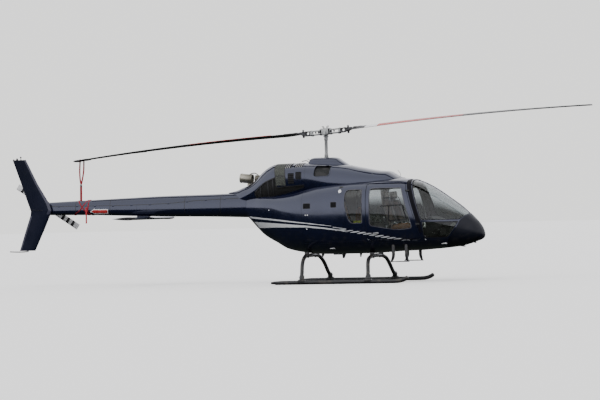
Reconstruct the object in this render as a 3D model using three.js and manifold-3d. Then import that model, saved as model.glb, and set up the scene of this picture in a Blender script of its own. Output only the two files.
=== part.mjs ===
// A light five-seat helicopter parked on its skids: one engine, a two-blade teetering main rotor, a two-blade
// tail rotor on the left of the boom, and a boomerang fin on its right.
// Millimetres, +X to the nose, +Y to the left side, +Z up. The origin is on the ground, in the plane of symmetry,
// halfway between the ends of the parked helicopter. Inside the group all places are counted from the mast's axis.

import * as THREE from "three";
import { mergeVertices } from "three/addons/utils/BufferGeometryUtils.js";
import Module from "manifold-3d";

const wasm = await Module();
wasm.setup();

// Driving dimensions
const MAST_X = 759.0; // the mast's axis ahead of the origin
const WALL = 35; // cabin wall and door thickness
const COWL_WALL = 22;
const BOOM_WALL = 16;
const GLASS = 8;
const GLASS_INSET = 10; // outer face of a pane below the outer skin
const SEAM = 0.5; // gap between pieces that meet
const DOOR_GAP = 14; // gap round a door that moves
const SILL_GAP = 22;
// A shallow relief in each front sill, over which the door's lower front corner swings.
const SILL_RELIEF = { rear: 1950, front: 2064, near: 530, far: 680, depth: 18 };
const RIGHT = -1;
const LEFT = 1;

const ROTOR_RADIUS = 5640;
const HUB_Z = 3133;
const ROTOR_TILT = THREE.MathUtils.degToRad(4.2); // parked, the blade over the boom is the low one
const TAIL_ROTOR_RADIUS = 825;
const TAIL_ROTOR = { x: -6420, y: 330, z: 1722 };
const TAIL_ROTOR_ANGLE = THREE.MathUtils.degToRad(32.8); // the front blade points down by this

const SKID_Y = 985;
const SKID_RADIUS = 42;
const CROSS_TUBE_RADIUS = 40;

const DECK_Z = 870; // top of the belly tub and foot of the door openings
const BULKHEAD_X = -350; // back of the cabin
const DOOR_POST_X = 1040; // between the front and the rear doors
const BOOM_X = -1720; // where the boom is bolted on
const COWL_SPLIT_X = -330;

// Sections of the fuselage, front to back: x, bottom, top, half width, height of the widest line,
// roundness of the upper half and of the lower half (2 is an ellipse, more is squarer).
const FUSELAGE = [
  [3352, 930, 940, 4, 935, 2.0, 2.0],
  [3347, 905, 985, 45, 938, 2.0, 2.0],
  [3332, 876, 1035, 88, 948, 2.0, 2.0],
  [3300, 850, 1110, 135, 965, 2.0, 2.0],
  [3180, 803, 1262, 240, 1005, 2.0, 2.0],
  [3040, 757, 1400, 325, 1045, 2.05, 2.1],
  [2900, 722, 1528, 400, 1085, 2.1, 2.15],
  [2660, 690, 1705, 505, 1145, 2.2, 2.25],
  [2400, 668, 1885, 592, 1205, 2.35, 2.35],
  [2230, 657, 1985, 640, 1245, 2.5, 2.4],
  [2060, 645, 2062, 680, 1285, 2.75, 2.45],
  [1860, 639, 2112, 715, 1325, 3.1, 2.5],
  [1600, 630, 2132, 742, 1355, 3.3, 2.6],
  [1340, 615, 2130, 757, 1380, 3.4, 2.6],
  [850, 595, 2112, 765, 1400, 3.4, 2.6],
  [350, 590, 2092, 763, 1400, 3.3, 2.6],
  [0, 597, 2068, 745, 1400, 3.1, 2.5],
  [-350, 624, 2008, 700, 1430, 2.9, 2.4],
  [-600, 660, 1950, 645, 1465, 2.7, 2.3],
  [-850, 722, 1905, 568, 1510, 2.6, 2.25],
  [-1080, 850, 1880, 480, 1570, 2.5, 2.2],
  [-1350, 1010, 1880, 380, 1590, 2.4, 2.2],
  [-1520, 1175, 1895, 300, 1595, 2.3, 2.2],
  [-1720, 1400, 1915, 215, 1600, 2.2, 2.2],
];

// Sections of the tail boom, with the same columns.
const BOOM = [
  [-1720, 1398, 1915, 215, 1608, 2.3, 2.2],
  [-2600, 1430, 1899, 200, 1606, 2.3, 2.2],
  [-3600, 1456, 1890, 185, 1608, 2.3, 2.2],
  [-4500, 1490, 1866, 162, 1618, 2.3, 2.2],
  [-5300, 1523, 1842, 135, 1628, 2.3, 2.2],
  [-6150, 1540, 1816, 105, 1632, 2.3, 2.2],
  [-6500, 1556, 1803, 92, 1638, 2.3, 2.2],
];

// Sections of the cowlings over the gearbox and the engine, with the same columns.
const COWL = [
  [1670, 1850, 2142, 240, 2050, 2.2, 2.0],
  [1570, 1850, 2172, 330, 2050, 2.3, 2.0],
  [1480, 1850, 2228, 380, 2050, 2.4, 2.0],
  [1360, 1850, 2286, 425, 2050, 2.5, 2.0],
  [1210, 1850, 2300, 455, 2045, 2.6, 2.0],
  [800, 1840, 2374, 505, 2050, 2.6, 2.6],
  [500, 1830, 2435, 525, 2070, 2.6, 2.6],
  [200, 1800, 2470, 532, 2100, 2.6, 2.6],
  [-330, 1750, 2498, 520, 2170, 2.6, 2.6],
  [-700, 1700, 2497, 490, 2190, 2.6, 2.6],
  [-1050, 1650, 2490, 425, 2170, 2.6, 2.6],
  [-1200, 1640, 2441, 385, 2130, 2.5, 2.5],
  [-1330, 1630, 2359, 345, 2070, 2.4, 2.4],
  [-1510, 1620, 2197, 285, 1950, 2.3, 2.2],
  [-1670, 1620, 2085, 235, 1870, 2.2, 2.0],
  [-1850, 1620, 2013, 185, 1800, 2.1, 2.0],
  [-2000, 1640, 1955, 135, 1755, 2.0, 2.0],
  [-2160, 1660, 1925, 70, 1755, 2.0, 2.0],
];

// Sections of the raised fairing round the mast, with the same columns.
const MAST_FAIRING = [
  [500, 2250, 2430, 190, 2300, 3.0, 2.0],
  [350, 2250, 2529, 235, 2300, 3.0, 2.0],
  [250, 2250, 2592, 258, 2300, 3.2, 2.0],
  [150, 2250, 2604, 265, 2300, 3.4, 2.0],
  [-200, 2250, 2606, 265, 2300, 3.4, 2.0],
  [-300, 2250, 2592, 255, 2300, 3.2, 2.0],
  [COWL_SPLIT_X, 2250, 2560, 245, 2300, 3.0, 2.0],
];

// Outlines in side view. Each corner is x, z, radius.
const FRONT_DOOR = [
  [1040, 870, 70],
  [2167, 870, 90],
  [1838, 2025, 50],
  [1040, 2025, 50],
];
const FRONT_DOOR_WINDOW = [
  [1112, 1170, 80],
  [1700, 1068, 200],
  [2003, 1105, 60],
  [1772, 1940, 40],
  [1116, 1940, 90],
];
const REAR_DOOR = [
  [420, 870, 60],
  [1040, 870, 60],
  [1040, 2025, 50],
  [420, 2010, 90],
];
const REAR_WINDOW = [
  [700, 1225, 90],
  [965, 1225, 35],
  [965, 1922, 40],
  [600, 1922, 110],
  [580, 1560, 200],
];
const BAGGAGE_DOOR = [
  [-880, 1150, 60],
  [-430, 1080, 60],
  [-430, 1660, 60],
  [-880, 1660, 60],
];
const BAGGAGE_TURN = THREE.MathUtils.degToRad(16); // its edges follow the body's taper
const WINDSHIELD = [
  [2180, 1262, 30],
  [1880, 2300, 10],
  [3300, 2300, 10],
  [3300, 1563, 10],
  [3068, 1385, 10],
  [2905, 1262, 20],
];
const CHIN_WINDOW = [
  [2195, 1225, 20],
  [2893, 1225, 20],
  [2825, 1100, 80],
  [2712, 940, 40],
  [2672, 903, 30],
  [2215, 903, 50],
];
// The cover of the tail rotor's drive shaft lies above this line on the boom.
const SHAFT_COVER_EDGE = [
  [BOOM_X, 1805],
  [-2770, 1775],
  [-3440, 1728],
  [-3900, 1715],
  [-4700, 1708],
  [-5400, 1715],
  [-6240, 1723],
];
// The nose cone lies ahead of this line, given from the top down.
const NOSE_EDGE = [
  [3300, 1540],
  [3100, 1390],
  [2940, 1268],
  [2858, 1105],
  [2745, 940],
  [2640, 800],
  [2540, 600],
];
const AIR_INTAKE = [
  [-130, 2205, 60],
  [205, 2215, 60],
  [215, 2420, 40],
  [-110, 2430, 60],
];
const ENGINE_SCREEN = [
  [-1500, 1905, 30],
  [-1430, 1770, 20],
  [-1115, 1815, 10],
  [-750, 1885, 10],
  [-345, 1992, 15],
  [-345, 2040, 15],
  [-745, 2016, 10],
  [-960, 2003, 10],
  [-970, 2221, 40],
  [-1253, 2115, 60],
];

const MATERIALS = {
  navy: [0x10142c, 0.2, 0.1],
  glass: [0x9aa39c, 0.05, 0.0],
  black: [0x111214, 0.6, 0.1],
  bareMetal: [0xb8b9b4, 0.4, 0.8],
  exhaustSteel: [0x9c8b6e, 0.4, 0.8],
  tanLeather: [0x8f5a2c, 0.6, 0.0],
  greyPlastic: [0x3c3d3f, 0.6, 0.0],
  bladePaint: [0x4c4c4a, 0.5, 0.1],
  engineMetal: [0x6a6b6c, 0.5, 0.6],
};

function material(key) {
  const [color, roughness, metalness] = MATERIALS[key];
  return new THREE.MeshStandardMaterial({ color, roughness, metalness });
}

// Solids

function solid(geometry) {
  const bare = geometry.clone();
  bare.deleteAttribute("normal");
  bare.deleteAttribute("uv");
  const merged = mergeVertices(bare.index ? bare.toNonIndexed() : bare, 1e-3);
  return new wasm.Manifold(
    new wasm.Mesh({
      numProp: 3,
      vertProperties: merged.attributes.position.array,
      triVerts: new Uint32Array(merged.index.array),
    }),
  );
}

function geometryOf(made) {
  const mesh = made.getMesh();
  const position = new Float32Array(mesh.numVert * 3);
  for (let i = 0; i < mesh.numVert; i++) {
    position.set(mesh.vertProperties.subarray(i * mesh.numProp, i * mesh.numProp + 3), i * 3);
  }
  const geometry = new THREE.BufferGeometry();
  geometry.setAttribute("position", new THREE.BufferAttribute(position, 3));
  geometry.setIndex(new THREE.BufferAttribute(mesh.triVerts, 1));
  return geometry;
}

function node(name, shape, materialKey) {
  const geometry = shape.isBufferGeometry ? shape : geometryOf(shape);
  const mesh = new THREE.Mesh(geometry, material(materialKey));
  mesh.name = name;
  return mesh;
}

function box(low, high) {
  const size = high.map((h, i) => h - low[i]);
  const geometry = new THREE.BoxGeometry(...size);
  return solid(geometry.translate(...high.map((h, i) => (h + low[i]) / 2)));
}

function cylinder(radius, from, to, sides = 20) {
  const a = new THREE.Vector3(...from);
  const b = new THREE.Vector3(...to);
  const along = b.clone().sub(a);
  const geometry = new THREE.CylinderGeometry(radius, radius, along.length(), sides);
  const turn = new THREE.Quaternion().setFromUnitVectors(new THREE.Vector3(0, 1, 0), along.clone().normalize());
  geometry.applyQuaternion(turn);
  return solid(geometry.translate(...a.add(b).multiplyScalar(0.5).toArray()));
}

// A round bar along a smooth curve through points.
function tube(radius, points, steps, sides = 8) {
  const path = new THREE.CatmullRomCurve3(
    points.map((p) => new THREE.Vector3(...p)),
    false,
    "catmullrom",
    0.5,
  );
  const circle = new THREE.Shape();
  circle.absarc(0, 0, radius, 0, Math.PI * 2, false);
  return solid(
    new THREE.ExtrudeGeometry(circle, { steps, curveSegments: sides / 2, extrudePath: path }),
  );
}

// A closed skin over rings of points, each ring with as many points as the next, its ends closed by fans.
function skin(rings) {
  const count = rings[0].length;
  const points = rings.flat();
  const faces = [];
  for (let r = 0; r + 1 < rings.length; r++) {
    for (let i = 0; i < count; i++) {
      const a = r * count + i;
      const b = r * count + ((i + 1) % count);
      faces.push(a, b, b + count, a, b + count, a + count);
    }
  }
  for (const [first, order] of [
    [0, 1],
    [(rings.length - 1) * count, -1],
  ]) {
    const ring = points.slice(first, first + count);
    const middle = [0, 1, 2].map((k) => ring.reduce((sum, p) => sum + p[k], 0) / count);
    const centre = points.push(middle) - 1;
    for (let i = 0; i < count; i++) {
      const a = first + i;
      const b = first + ((i + 1) % count);
      faces.push(centre, order > 0 ? b : a, order > 0 ? a : b);
    }
  }
  const geometry = new THREE.BufferGeometry();
  geometry.setAttribute("position", new THREE.BufferAttribute(new Float32Array(points.flat()), 3));
  geometry.setIndex(faces);
  const made = solid(geometry);
  if (made.volume() > 0) return made;
  for (let i = 0; i < faces.length; i += 3) [faces[i + 1], faces[i + 2]] = [faces[i + 2], faces[i + 1]];
  geometry.setIndex(faces);
  return solid(geometry);
}

// A loft through rows of a section table, each ring drawn in by inset.
function loft(rows, inset = 0, sides = 24) {
  return skin(
    rows.map(([x, bottom, top, halfWidth, widest, roundTop, roundBottom]) => {
      const ring = [];
      for (let i = 0; i < sides; i++) {
        const angle = (2 * Math.PI * i) / sides;
        const across = Math.cos(angle);
        const up = Math.sin(angle);
        const power = 2 / (up >= 0 ? roundTop : roundBottom);
        const height = up >= 0 ? top - widest - inset : widest - bottom - inset;
        ring.push([
          x,
          Math.sign(across) * Math.abs(across) ** power * (halfWidth - inset),
          widest + Math.sign(up) * Math.abs(up) ** power * height,
        ]);
      }
      return ring;
    }),
  );
}

// Rows of a table between two stations, with rows made at the ends where the table has none.
function between(rows, front, back) {
  const at = (x) => {
    const i = rows.findIndex((row) => row[0] <= x);
    const [a, b] = [rows[i - 1], rows[i]];
    const share = (a[0] - x) / (a[0] - b[0]);
    return a.map((value, k) => value + (b[k] - value) * share);
  };
  const inside = rows.filter((row) => row[0] < front - 1 && row[0] > back + 1);
  const first = front >= rows[0][0] ? rows[0] : at(front);
  const last = back <= rows.at(-1)[0] ? rows.at(-1) : at(back);
  return [first, ...inside, last];
}

// An outline of corners moved inwards by distance, which keeps its edges parallel.
function drawIn(corners, distance) {
  const area = corners.reduce((sum, [x, z], i) => {
    const [nextX, nextZ] = corners[(i + 1) % corners.length];
    return sum + x * nextZ - nextX * z;
  }, 0);
  const turn = Math.sign(area);
  const edges = corners.map(([x, z], i) => {
    const [nextX, nextZ] = corners[(i + 1) % corners.length];
    const length = Math.hypot(nextX - x, nextZ - z);
    const normal = [(-turn * (nextZ - z)) / length, (turn * (nextX - x)) / length];
    return { normal, offset: normal[0] * x + normal[1] * z + distance };
  });
  return corners.map(([, , radius], i) => {
    const a = edges[(i + corners.length - 1) % corners.length];
    const b = edges[i];
    const det = a.normal[0] * b.normal[1] - a.normal[1] * b.normal[0];
    return [
      (a.offset * b.normal[1] - b.offset * a.normal[1]) / det,
      (a.normal[0] * b.offset - b.normal[0] * a.offset) / det,
      Math.max(radius - distance, 3),
    ];
  });
}

function outlineShape(corners) {
  const shape = new THREE.Shape();
  corners.forEach(([x, z, radius], i) => {
    const before = corners[(i + corners.length - 1) % corners.length];
    const after = corners[(i + 1) % corners.length];
    const towards = ([px, pz]) => {
      const length = Math.hypot(px - x, pz - z);
      const share = Math.min(radius / length, 0.45);
      return [x + (px - x) * share, z + (pz - z) * share];
    };
    const start = towards(before);
    const end = towards(after);
    if (i === 0) shape.moveTo(...start);
    else shape.lineTo(...start);
    shape.quadraticCurveTo(x, z, ...end);
  });
  shape.closePath();
  return shape;
}

// A side-view outline driven across the body from y = near to y = far on one side, and turned about the upright
// line where its hinge edge meets the skin.
function sidePrism(corners, side, near = 150, far = 1300, turn = 0) {
  const geometry = new THREE.ExtrudeGeometry(outlineShape(corners), {
    depth: far - near,
    bevelEnabled: false,
    curveSegments: 3,
  });
  geometry.rotateX(Math.PI / 2); // the depth now runs along -Y
  geometry.translate(0, side === LEFT ? far : -near, 0);
  if (turn) geometry.translate(655, -620 * side, 0).rotateZ(turn * side).translate(-655, 620 * side, 0);
  return solid(geometry);
}

function acrossPrism(points) {
  const shape = new THREE.Shape(points.map(([x, z]) => new THREE.Vector2(x, z)));
  const geometry = new THREE.ExtrudeGeometry(shape, { depth: 2600, bevelEnabled: false });
  geometry.rotateX(Math.PI / 2);
  return solid(geometry.translate(0, 1300, 0));
}

function union(parts) {
  return parts.reduce((whole, part) => whole.add(part));
}

// Fuselage

const FAR = 9000;
const bodyOuter = loft(FUSELAGE);
const bodyInner = loft(between(FUSELAGE, 3180, BULKHEAD_X + WALL), WALL);
const bodyGrown = loft(FUSELAGE, -SEAM);
const boomGrown = loft(BOOM, -SEAM);
const paneSkin = loft(FUSELAGE, GLASS_INSET).subtract(loft(FUSELAGE, GLASS_INSET + GLASS));
const noseRegion = acrossPrism([...NOSE_EDGE, [3600, 600], [3600, 1540]]);
const behindNose = acrossPrism([
  ...NOSE_EDGE.map(([x, z]) => [x - 2 * SEAM, z]),
  [-3000, 600],
  [-3000, 2400],
  [3300, 2400],
]);

function cabinWall() {
  return bodyOuter.subtract(bodyInner).intersect(behindNose);
}

function doorOpenings() {
  return union([
    sidePrism(FRONT_DOOR, RIGHT, 250),
    sidePrism(FRONT_DOOR, LEFT, 250),
    sidePrism(REAR_DOOR, LEFT, 250),
  ]);
}

function bellyTub() {
  const hookPad = box([130, -80, 580], [290, 80, 620]); // the flat pad for a cargo hook
  return cabinWall()
    .intersect(box([BULKHEAD_X, -FAR, 0], [FAR, FAR, DECK_Z - WALL - SEAM]))
    .add(hookPad);
}

function cabinFloor() {
  const slab = box([BULKHEAD_X + WALL, -FAR, DECK_Z - WALL], [FAR, FAR, DECK_Z]);
  const inside = loft(between(FUSELAGE, 2560, BULKHEAD_X + WALL + SEAM), WALL + SEAM);
  return slab.intersect(inside);
}

function sillRelief(side) {
  const { rear, front, near, far, depth } = SILL_RELIEF;
  const across = [side * near, side * far].sort((a, b) => a - b);
  return box([rear, across[0], DECK_Z - depth], [front, across[1], DECK_Z + SILL_GAP]);
}

function cabinUpper() {
  const above = box([BULKHEAD_X, -FAR, DECK_Z - WALL], [FAR, FAR, FAR]);
  return cabinWall()
    .intersect(above)
    .subtract(doorOpenings())
    .subtract(sillRelief(RIGHT))
    .subtract(sillRelief(LEFT));
}

function cabinRearShell() {
  const region = box([BULKHEAD_X, -FAR, 0], [DOOR_POST_X - SEAM, FAR, FAR]);
  return cabinUpper().intersect(region).subtract(sidePrism(REAR_WINDOW, RIGHT));
}

function windshieldOpenings(inset) {
  const parts = [];
  for (const side of [RIGHT, LEFT]) {
    parts.push(sidePrism(drawIn(WINDSHIELD, inset), side, 20 + inset));
    parts.push(sidePrism(drawIn(CHIN_WINDOW, inset), side, 90 + inset));
  }
  return union(parts);
}

function cabinFrontFrame() {
  const region = box([DOOR_POST_X, -FAR, 0], [FAR, FAR, FAR]);
  return cabinUpper().intersect(region).subtract(windshieldOpenings(0));
}

function noseCone() {
  const hollow = loft(between(FUSELAGE, 3250, 2300), WALL);
  return bodyOuter.intersect(noseRegion).subtract(hollow);
}

function pane(outline, side, near) {
  return paneSkin.intersect(sidePrism(drawIn(outline, SEAM), side, near));
}

function frontPanes(side, word) {
  return [
    node(`windshield_${word}`, pane(WINDSHIELD, side, 20 + SEAM).intersect(behindNose), "glass"),
    node(`chin_window_${word}`, pane(CHIN_WINDOW, side, 90 + SEAM), "glass"),
  ];
}

// A door's lower edge stands further off its sill, which it dips towards as it swings on its sloped hinge line.
function doorPanel(outline, window, side) {
  const leaf = cabinWallFull().intersect(sidePrism(drawIn(outline, DOOR_GAP), side, 250));
  const aboveSill = box([-FAR, -FAR, DECK_Z + SILL_GAP], [FAR, FAR, FAR]);
  return leaf.intersect(aboveSill).subtract(sidePrism(window, side));
}

function baggageDoor() {
  const prism = sidePrism(drawIn(BAGGAGE_DOOR, DOOR_GAP), LEFT, 250, 1300, BAGGAGE_TURN);
  return cabinWallFull().intersect(prism);
}

function cabinWallFull() {
  return bodyOuter.subtract(loft(between(FUSELAGE, 3180, BOOM_X + WALL), WALL));
}

function aftFuselage() {
  const region = box([BOOM_X, -FAR, 0], [BULKHEAD_X - SEAM, FAR, FAR]);
  const inner = loft(between(FUSELAGE, 0, BOOM_X - 50), WALL);
  return bodyOuter
    .intersect(region)
    .subtract(inner)
    .subtract(sidePrism(BAGGAGE_DOOR, LEFT, 250, 1300, BAGGAGE_TURN));
}

// Cabin furniture

function profileAcross(points, halfWidth, centreY) {
  const shape = new THREE.Shape(points.map(([x, z]) => new THREE.Vector2(x, z)));
  const geometry = new THREE.ExtrudeGeometry(shape, { depth: 2 * halfWidth, bevelEnabled: false });
  geometry.rotateX(Math.PI / 2);
  return solid(geometry.translate(0, centreY + halfWidth, 0));
}

// Seat profile: base, cushion, back and headrest, counted from the seat's hip point.
const SEAT_PROFILE = [
  [-90, -280],
  [420, -280],
  [440, 0],
  [400, 40],
  [60, 10],
  [-110, 560],
  [-130, 720],
  [-230, 700],
  [-210, 560],
  [-120, 0],
];

function seat(hipX, hipZ, halfWidth, centreY, squash = 1) {
  return profileAcross(
    SEAT_PROFILE.map(([x, z]) => [hipX + x, z < 0 ? DECK_Z + SEAM : hipZ + z * squash]),
    halfWidth,
    centreY,
  );
}

function instrumentConsole() {
  const profile = [
    [2120, DECK_Z + SEAM],
    [2400, DECK_Z + SEAM],
    [2560, 1180],
    [2520, 1215],
    [2260, 1330],
    [2200, 1300],
    [2190, 1130],
  ];
  return profileAcross(profile, 330, 0).intersect(loft(between(FUSELAGE, 2700, 2000), WALL + 15));
}

// Cowlings, engine and gearbox

const fairingInner = loft(between(MAST_FAIRING, 400, -290), COWL_WALL);
const cowlInner = loft(between(COWL, 1600, -1950), COWL_WALL);

function forwardCowl() {
  const outer = loft(COWL).add(loft(MAST_FAIRING));
  const mastHole = cylinder(140, [0, 0, 2300], [0, 0, 2700], 28);
  return outer
    .subtract(cowlInner)
    .subtract(fairingInner)
    .intersect(box([COWL_SPLIT_X + SEAM, -FAR, 0], [FAR, FAR, FAR]))
    .subtract(bodyGrown)
    .subtract(mastHole)
    .subtract(sidePrism(AIR_INTAKE, RIGHT, 280))
    .subtract(sidePrism(AIR_INTAKE, LEFT, 280));
}

function engineCowl() {
  const exhaustHole = cylinder(118, [-1250, 0, 2205], [-1700, 0, 2215], 24);
  return loft(COWL)
    .subtract(cowlInner)
    .intersect(box([-FAR, -FAR, 0], [COWL_SPLIT_X, FAR, FAR]))
    .subtract(bodyGrown)
    .subtract(boomGrown)
    .subtract(exhaustHole)
    .subtract(sidePrism(ENGINE_SCREEN, RIGHT, 150))
    .subtract(sidePrism(ENGINE_SCREEN, LEFT, 150));
}

// The engine is one plain block on its mounts.
function engine() {
  const block = box([-1080, -200, 2000], [-480, 200, 2360]);
  const mounts = box([-1000, -140, 1800], [-560, 140, 2010]);
  return block.add(mounts).subtract(bodyGrown);
}

function exhaustDuct() {
  const outer = cylinder(96, [-1630, 0, 2195], [-1890, 0, 2222], 24);
  const bore = cylinder(86, [-1600, 0, 2192], [-1920, 0, 2225], 24);
  const nozzle = cylinder(80, [-1380, 0, 2190], [-1560, 0, 2196], 24);
  const nozzleBore = cylinder(72, [-1300, 0, 2190], [-1600, 0, 2198], 24);
  const pylon = box([-1760, -12, 1990], [-1655, 12, 2115]);
  const strut = box([-1700, -10, 2085], [-1540, 10, 2120]);
  return outer.add(nozzle).add(pylon).add(strut).subtract(bore).subtract(nozzleBore).subtract(loft(COWL, -SEAM)
    .subtract(cylinder(117, [-1250, 0, 2205], [-1700, 0, 2215], 24)));
}

// Tail

function boomShell() {
  const hollow = loft(between(BOOM, BOOM_X + 10, -6300), BOOM_WALL);
  return loft(BOOM).intersect(box([-FAR, -FAR, 0], [BOOM_X - SEAM, FAR, FAR])).subtract(hollow);
}

function aboveCoverEdge(gap) {
  const edge = SHAFT_COVER_EDGE.map(([x, z]) => [x, z + gap]);
  const aft = edge.at(-1)[0] + gap;
  edge.at(-1)[0] = aft;
  return acrossPrism([...edge, [aft, 2300], [0, 2300], [0, edge[0][1]]]);
}

function tailBoom() {
  return boomShell().subtract(aboveCoverEdge(0));
}

function shaftCover() {
  return boomShell().intersect(aboveCoverEdge(SEAM));
}

// Sections of a flat surface such as a fin: each has its leading edge, its trailing edge and its thickness.
function wing(rows, place, points = 7) {
  return skin(
    rows.map(({ lead, trail, thick, at }) => {
      const ring = [];
      const profile = (share) => 2.6 * (Math.sqrt(share) * 0.2969 - 0.126 * share - 0.3516 * share ** 2
        + 0.2843 * share ** 3 - 0.1036 * share ** 4) * 2;
      for (let i = 0; i <= points; i++) {
        const share = (1 - Math.cos((Math.PI * i) / points)) / 2;
        ring.push(place(lead + (trail - lead) * share, Math.max(profile(share) * thick, thick * 0.04), at));
      }
      for (let i = points; i >= 1; i--) {
        const share = (1 - Math.cos((Math.PI * i) / points)) / 2;
        ring.push(place(lead + (trail - lead) * share, -Math.max(profile(share) * thick, thick * 0.04), at));
      }
      return ring;
    }),
  );
}

const FIN_Y = -150;
// Sections of the fin from its top down: height, leading edge, trailing edge, thickness.
const FIN = [
  [2738, -6703, -7008, 46],
  [2217, -6443, -6818, 62],
  [1800, -6190, -6672, 82],
  [1640, -6132, -6612, 90],
  [1550, -6165, -6622, 88],
  [1229, -6312, -6738, 72],
  [790, -6530, -6892, 50],
];

function verticalFin() {
  const rows = FIN.map(([at, lead, trail, thick]) => ({ at, lead, trail, thick }));
  const fitting = box([-6420, FIN_Y + 15, 1590], [-6220, -75, 1690]); // bolted to the side of the boom
  return wing(rows, (x, offset, z) => [x, FIN_Y + offset, z])
    .add(fitting)
    .subtract(boomGrown);
}

const STABILIZER = { x: -4090, z: 1428, chord: 520, halfSpan: 1150, thick: 58 };

function horizontalStabilizer() {
  const { x, z, chord, halfSpan, thick } = STABILIZER;
  const rows = [-halfSpan, 0, halfSpan].map((at) => ({
    at,
    lead: x + chord / 2,
    trail: x - chord / 2,
    thick,
  }));
  const saddle = box([x - 130, -70, z], [x + 130, 70, z + 120]).subtract(boomGrown);
  return wing(rows, (along, offset, at) => [along, at, z + offset]).add(saddle);
}

function tailRotorGearbox() {
  const { x, y, z } = TAIL_ROTOR;
  const housing = cylinder(85, [x, 60, z], [x, 190, z], 20);
  const neck = cylinder(48, [x, 190, z], [x, y - 52, z], 20);
  return housing.add(neck).subtract(boomGrown);
}

function tailSkid() {
  return tube(
    13,
    [
      [-6690, FIN_Y, 776.5],
      [-6830, FIN_Y, 768.5],
      [-6970, FIN_Y, 770.5],
      [-7120, FIN_Y, 776.5],
    ],
    8,
  );
}

// Landing gear

// Front and rear cross tubes: x of the top, x of the feet, height of the top.
const CROSS_TUBES = {
  cross_tube_front: [1036, 1133, 552],
  cross_tube_rear: [-370, -286, 580],
};
const FOOT_Z = 2 * SKID_RADIUS + 22;
const SADDLE_Z = FOOT_Z - 15.2;

function crossTube([topX, footX, topZ]) {
  const half = [
    [SKID_Y, FOOT_Z],
    [SKID_Y - 14, FOOT_Z + 40],
    [890, 225],
    [770, 385],
    [640, 490],
    [480, topZ - 22],
    [330, topZ],
  ];
  const lean = (z) => topX + (footX - topX) * ((topZ - z) / (topZ - FOOT_Z));
  const points = [
    ...half.map(([y, z]) => [lean(z), -y, z]),
    ...half.reverse().map(([y, z]) => [lean(z), y, z]),
  ];
  const straps = [-330, 330].map((y) =>
    box([topX - 45, y - 30, topZ - 38], [topX + 45, y + 30, topZ + 150]),
  );
  return union([tube(CROSS_TUBE_RADIUS, points, 24), ...straps]).subtract(bodyGrown);
}

function skid(side) {
  const y = side * SKID_Y;
  const points = [
    [-950, y, SKID_RADIUS],
    [0, y, SKID_RADIUS],
    [1000, y, SKID_RADIUS],
    [1600, y, SKID_RADIUS],
    [1700, y, SKID_RADIUS + 1],
    [1800, y, SKID_RADIUS + 8],
    [1900, y, SKID_RADIUS + 36],
    [1985, y, SKID_RADIUS + 92],
  ];
  const saddles = Object.values(CROSS_TUBES).map(([, footX]) =>
    box([footX - 75, y - 45, SKID_RADIUS], [footX + 75, y + 45, SADDLE_Z]),
  );
  return union([tube(SKID_RADIUS, points, 14, 10), ...saddles]);
}

// Each step hangs from two flat struts whose feet spread along the tread.
const STEP_Y = 530;
const STEP_REAR_STRUT = [
  [1518, 800],
  [1582, 800],
  [1582, 520],
  [1530, 430],
  [1482, 430],
  [1518, 520],
];
const STEP_FRONT_STRUT = [
  [1792, 800],
  [1856, 800],
  [1856, 520],
  [1880, 430],
  [1832, 430],
  [1792, 520],
];

function step(side) {
  const y = side * STEP_Y;
  const struts = [STEP_REAR_STRUT, STEP_FRONT_STRUT].map((outline) => profileAcross(outline, 12, y));
  const tread = box([1476, y - 28, 418], [1886, y + 28, 436]);
  return union([...struts, tread]).subtract(bodyGrown);
}

// Main rotor

// Height of a blade's axis above the flat hub: cone outwards from the root, droop towards the tip.
function bladeLift(radius) {
  const share = Math.max(radius - 450, 0) / (ROTOR_RADIUS - 450);
  return radius * 0.03 - 210 * share ** 2;
}

const YOKE_END = 330;
const GRIP_END = 590;

// Sections of a main blade: radius, chord, thickness, pitch in degrees.
const MAIN_BLADE = [
  [GRIP_END + 0.5, 170, 50, 9],
  [700, 230, 46, 9],
  [900, 330, 42, 8.5],
  [2000, 330, 40, 6.5],
  [3200, 330, 36, 4.5],
  [4400, 330, 32, 2.5],
  [ROTOR_RADIUS, 330, 28, 0.5],
];

function mainBlade(direction) {
  const rings = MAIN_BLADE.map(([radius, chord, thick, pitch]) => {
    const ring = [];
    const angle = THREE.MathUtils.degToRad(pitch);
    const sides = 7;
    const profile = (share) => 1.0 * Math.sqrt(share) * (1 - share) * 1.3 + 0.03;
    const put = (share, sign) => {
      const across = (0.25 - share) * chord; // the quarter chord is on the blade's axis
      const up = sign * profile(share) * thick;
      ring.push([
        direction * radius,
        direction * (across * Math.cos(angle) - up * Math.sin(angle)),
        bladeLift(radius) + across * Math.sin(angle) + up * Math.cos(angle),
      ]);
    };
    for (let i = 0; i <= sides; i++) put((1 - Math.cos((Math.PI * i) / sides)) / 2, 1);
    for (let i = sides; i >= 0; i--) put((1 - Math.cos((Math.PI * i) / sides)) / 2, -1);
    return ring;
  });
  return skin(rings);
}

// Two plates a little apart, bolted to a block that rocks on the mast's top.
function rotorYoke() {
  const parts = [
    box([-YOKE_END, -62, -50], [YOKE_END, 62, -24]),
    box([-YOKE_END, -62, 24], [YOKE_END, 62, 50]),
    box([-105, -82, -60], [105, 82, 60]),
    cylinder(30, [0, -122, 0], [0, 122, 0], 14),
  ];
  for (const end of [-1, 1]) {
    const inner = end * (YOKE_END - 45);
    parts.push(box([Math.min(inner, end * YOKE_END), -62, -50], [Math.max(inner, end * YOKE_END), 62, 50]));
    parts.push(box([-24, Math.min(end * 80, end * 122), -62], [24, Math.max(end * 80, end * 122), -10]));
  }
  const mastHole = box([-64, -46, -80], [64, 46, 80]);
  const lid = box([-95, -60, 59], [95, 60, 74]);
  return union(parts).subtract(mastHole).add(lid);
}

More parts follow.
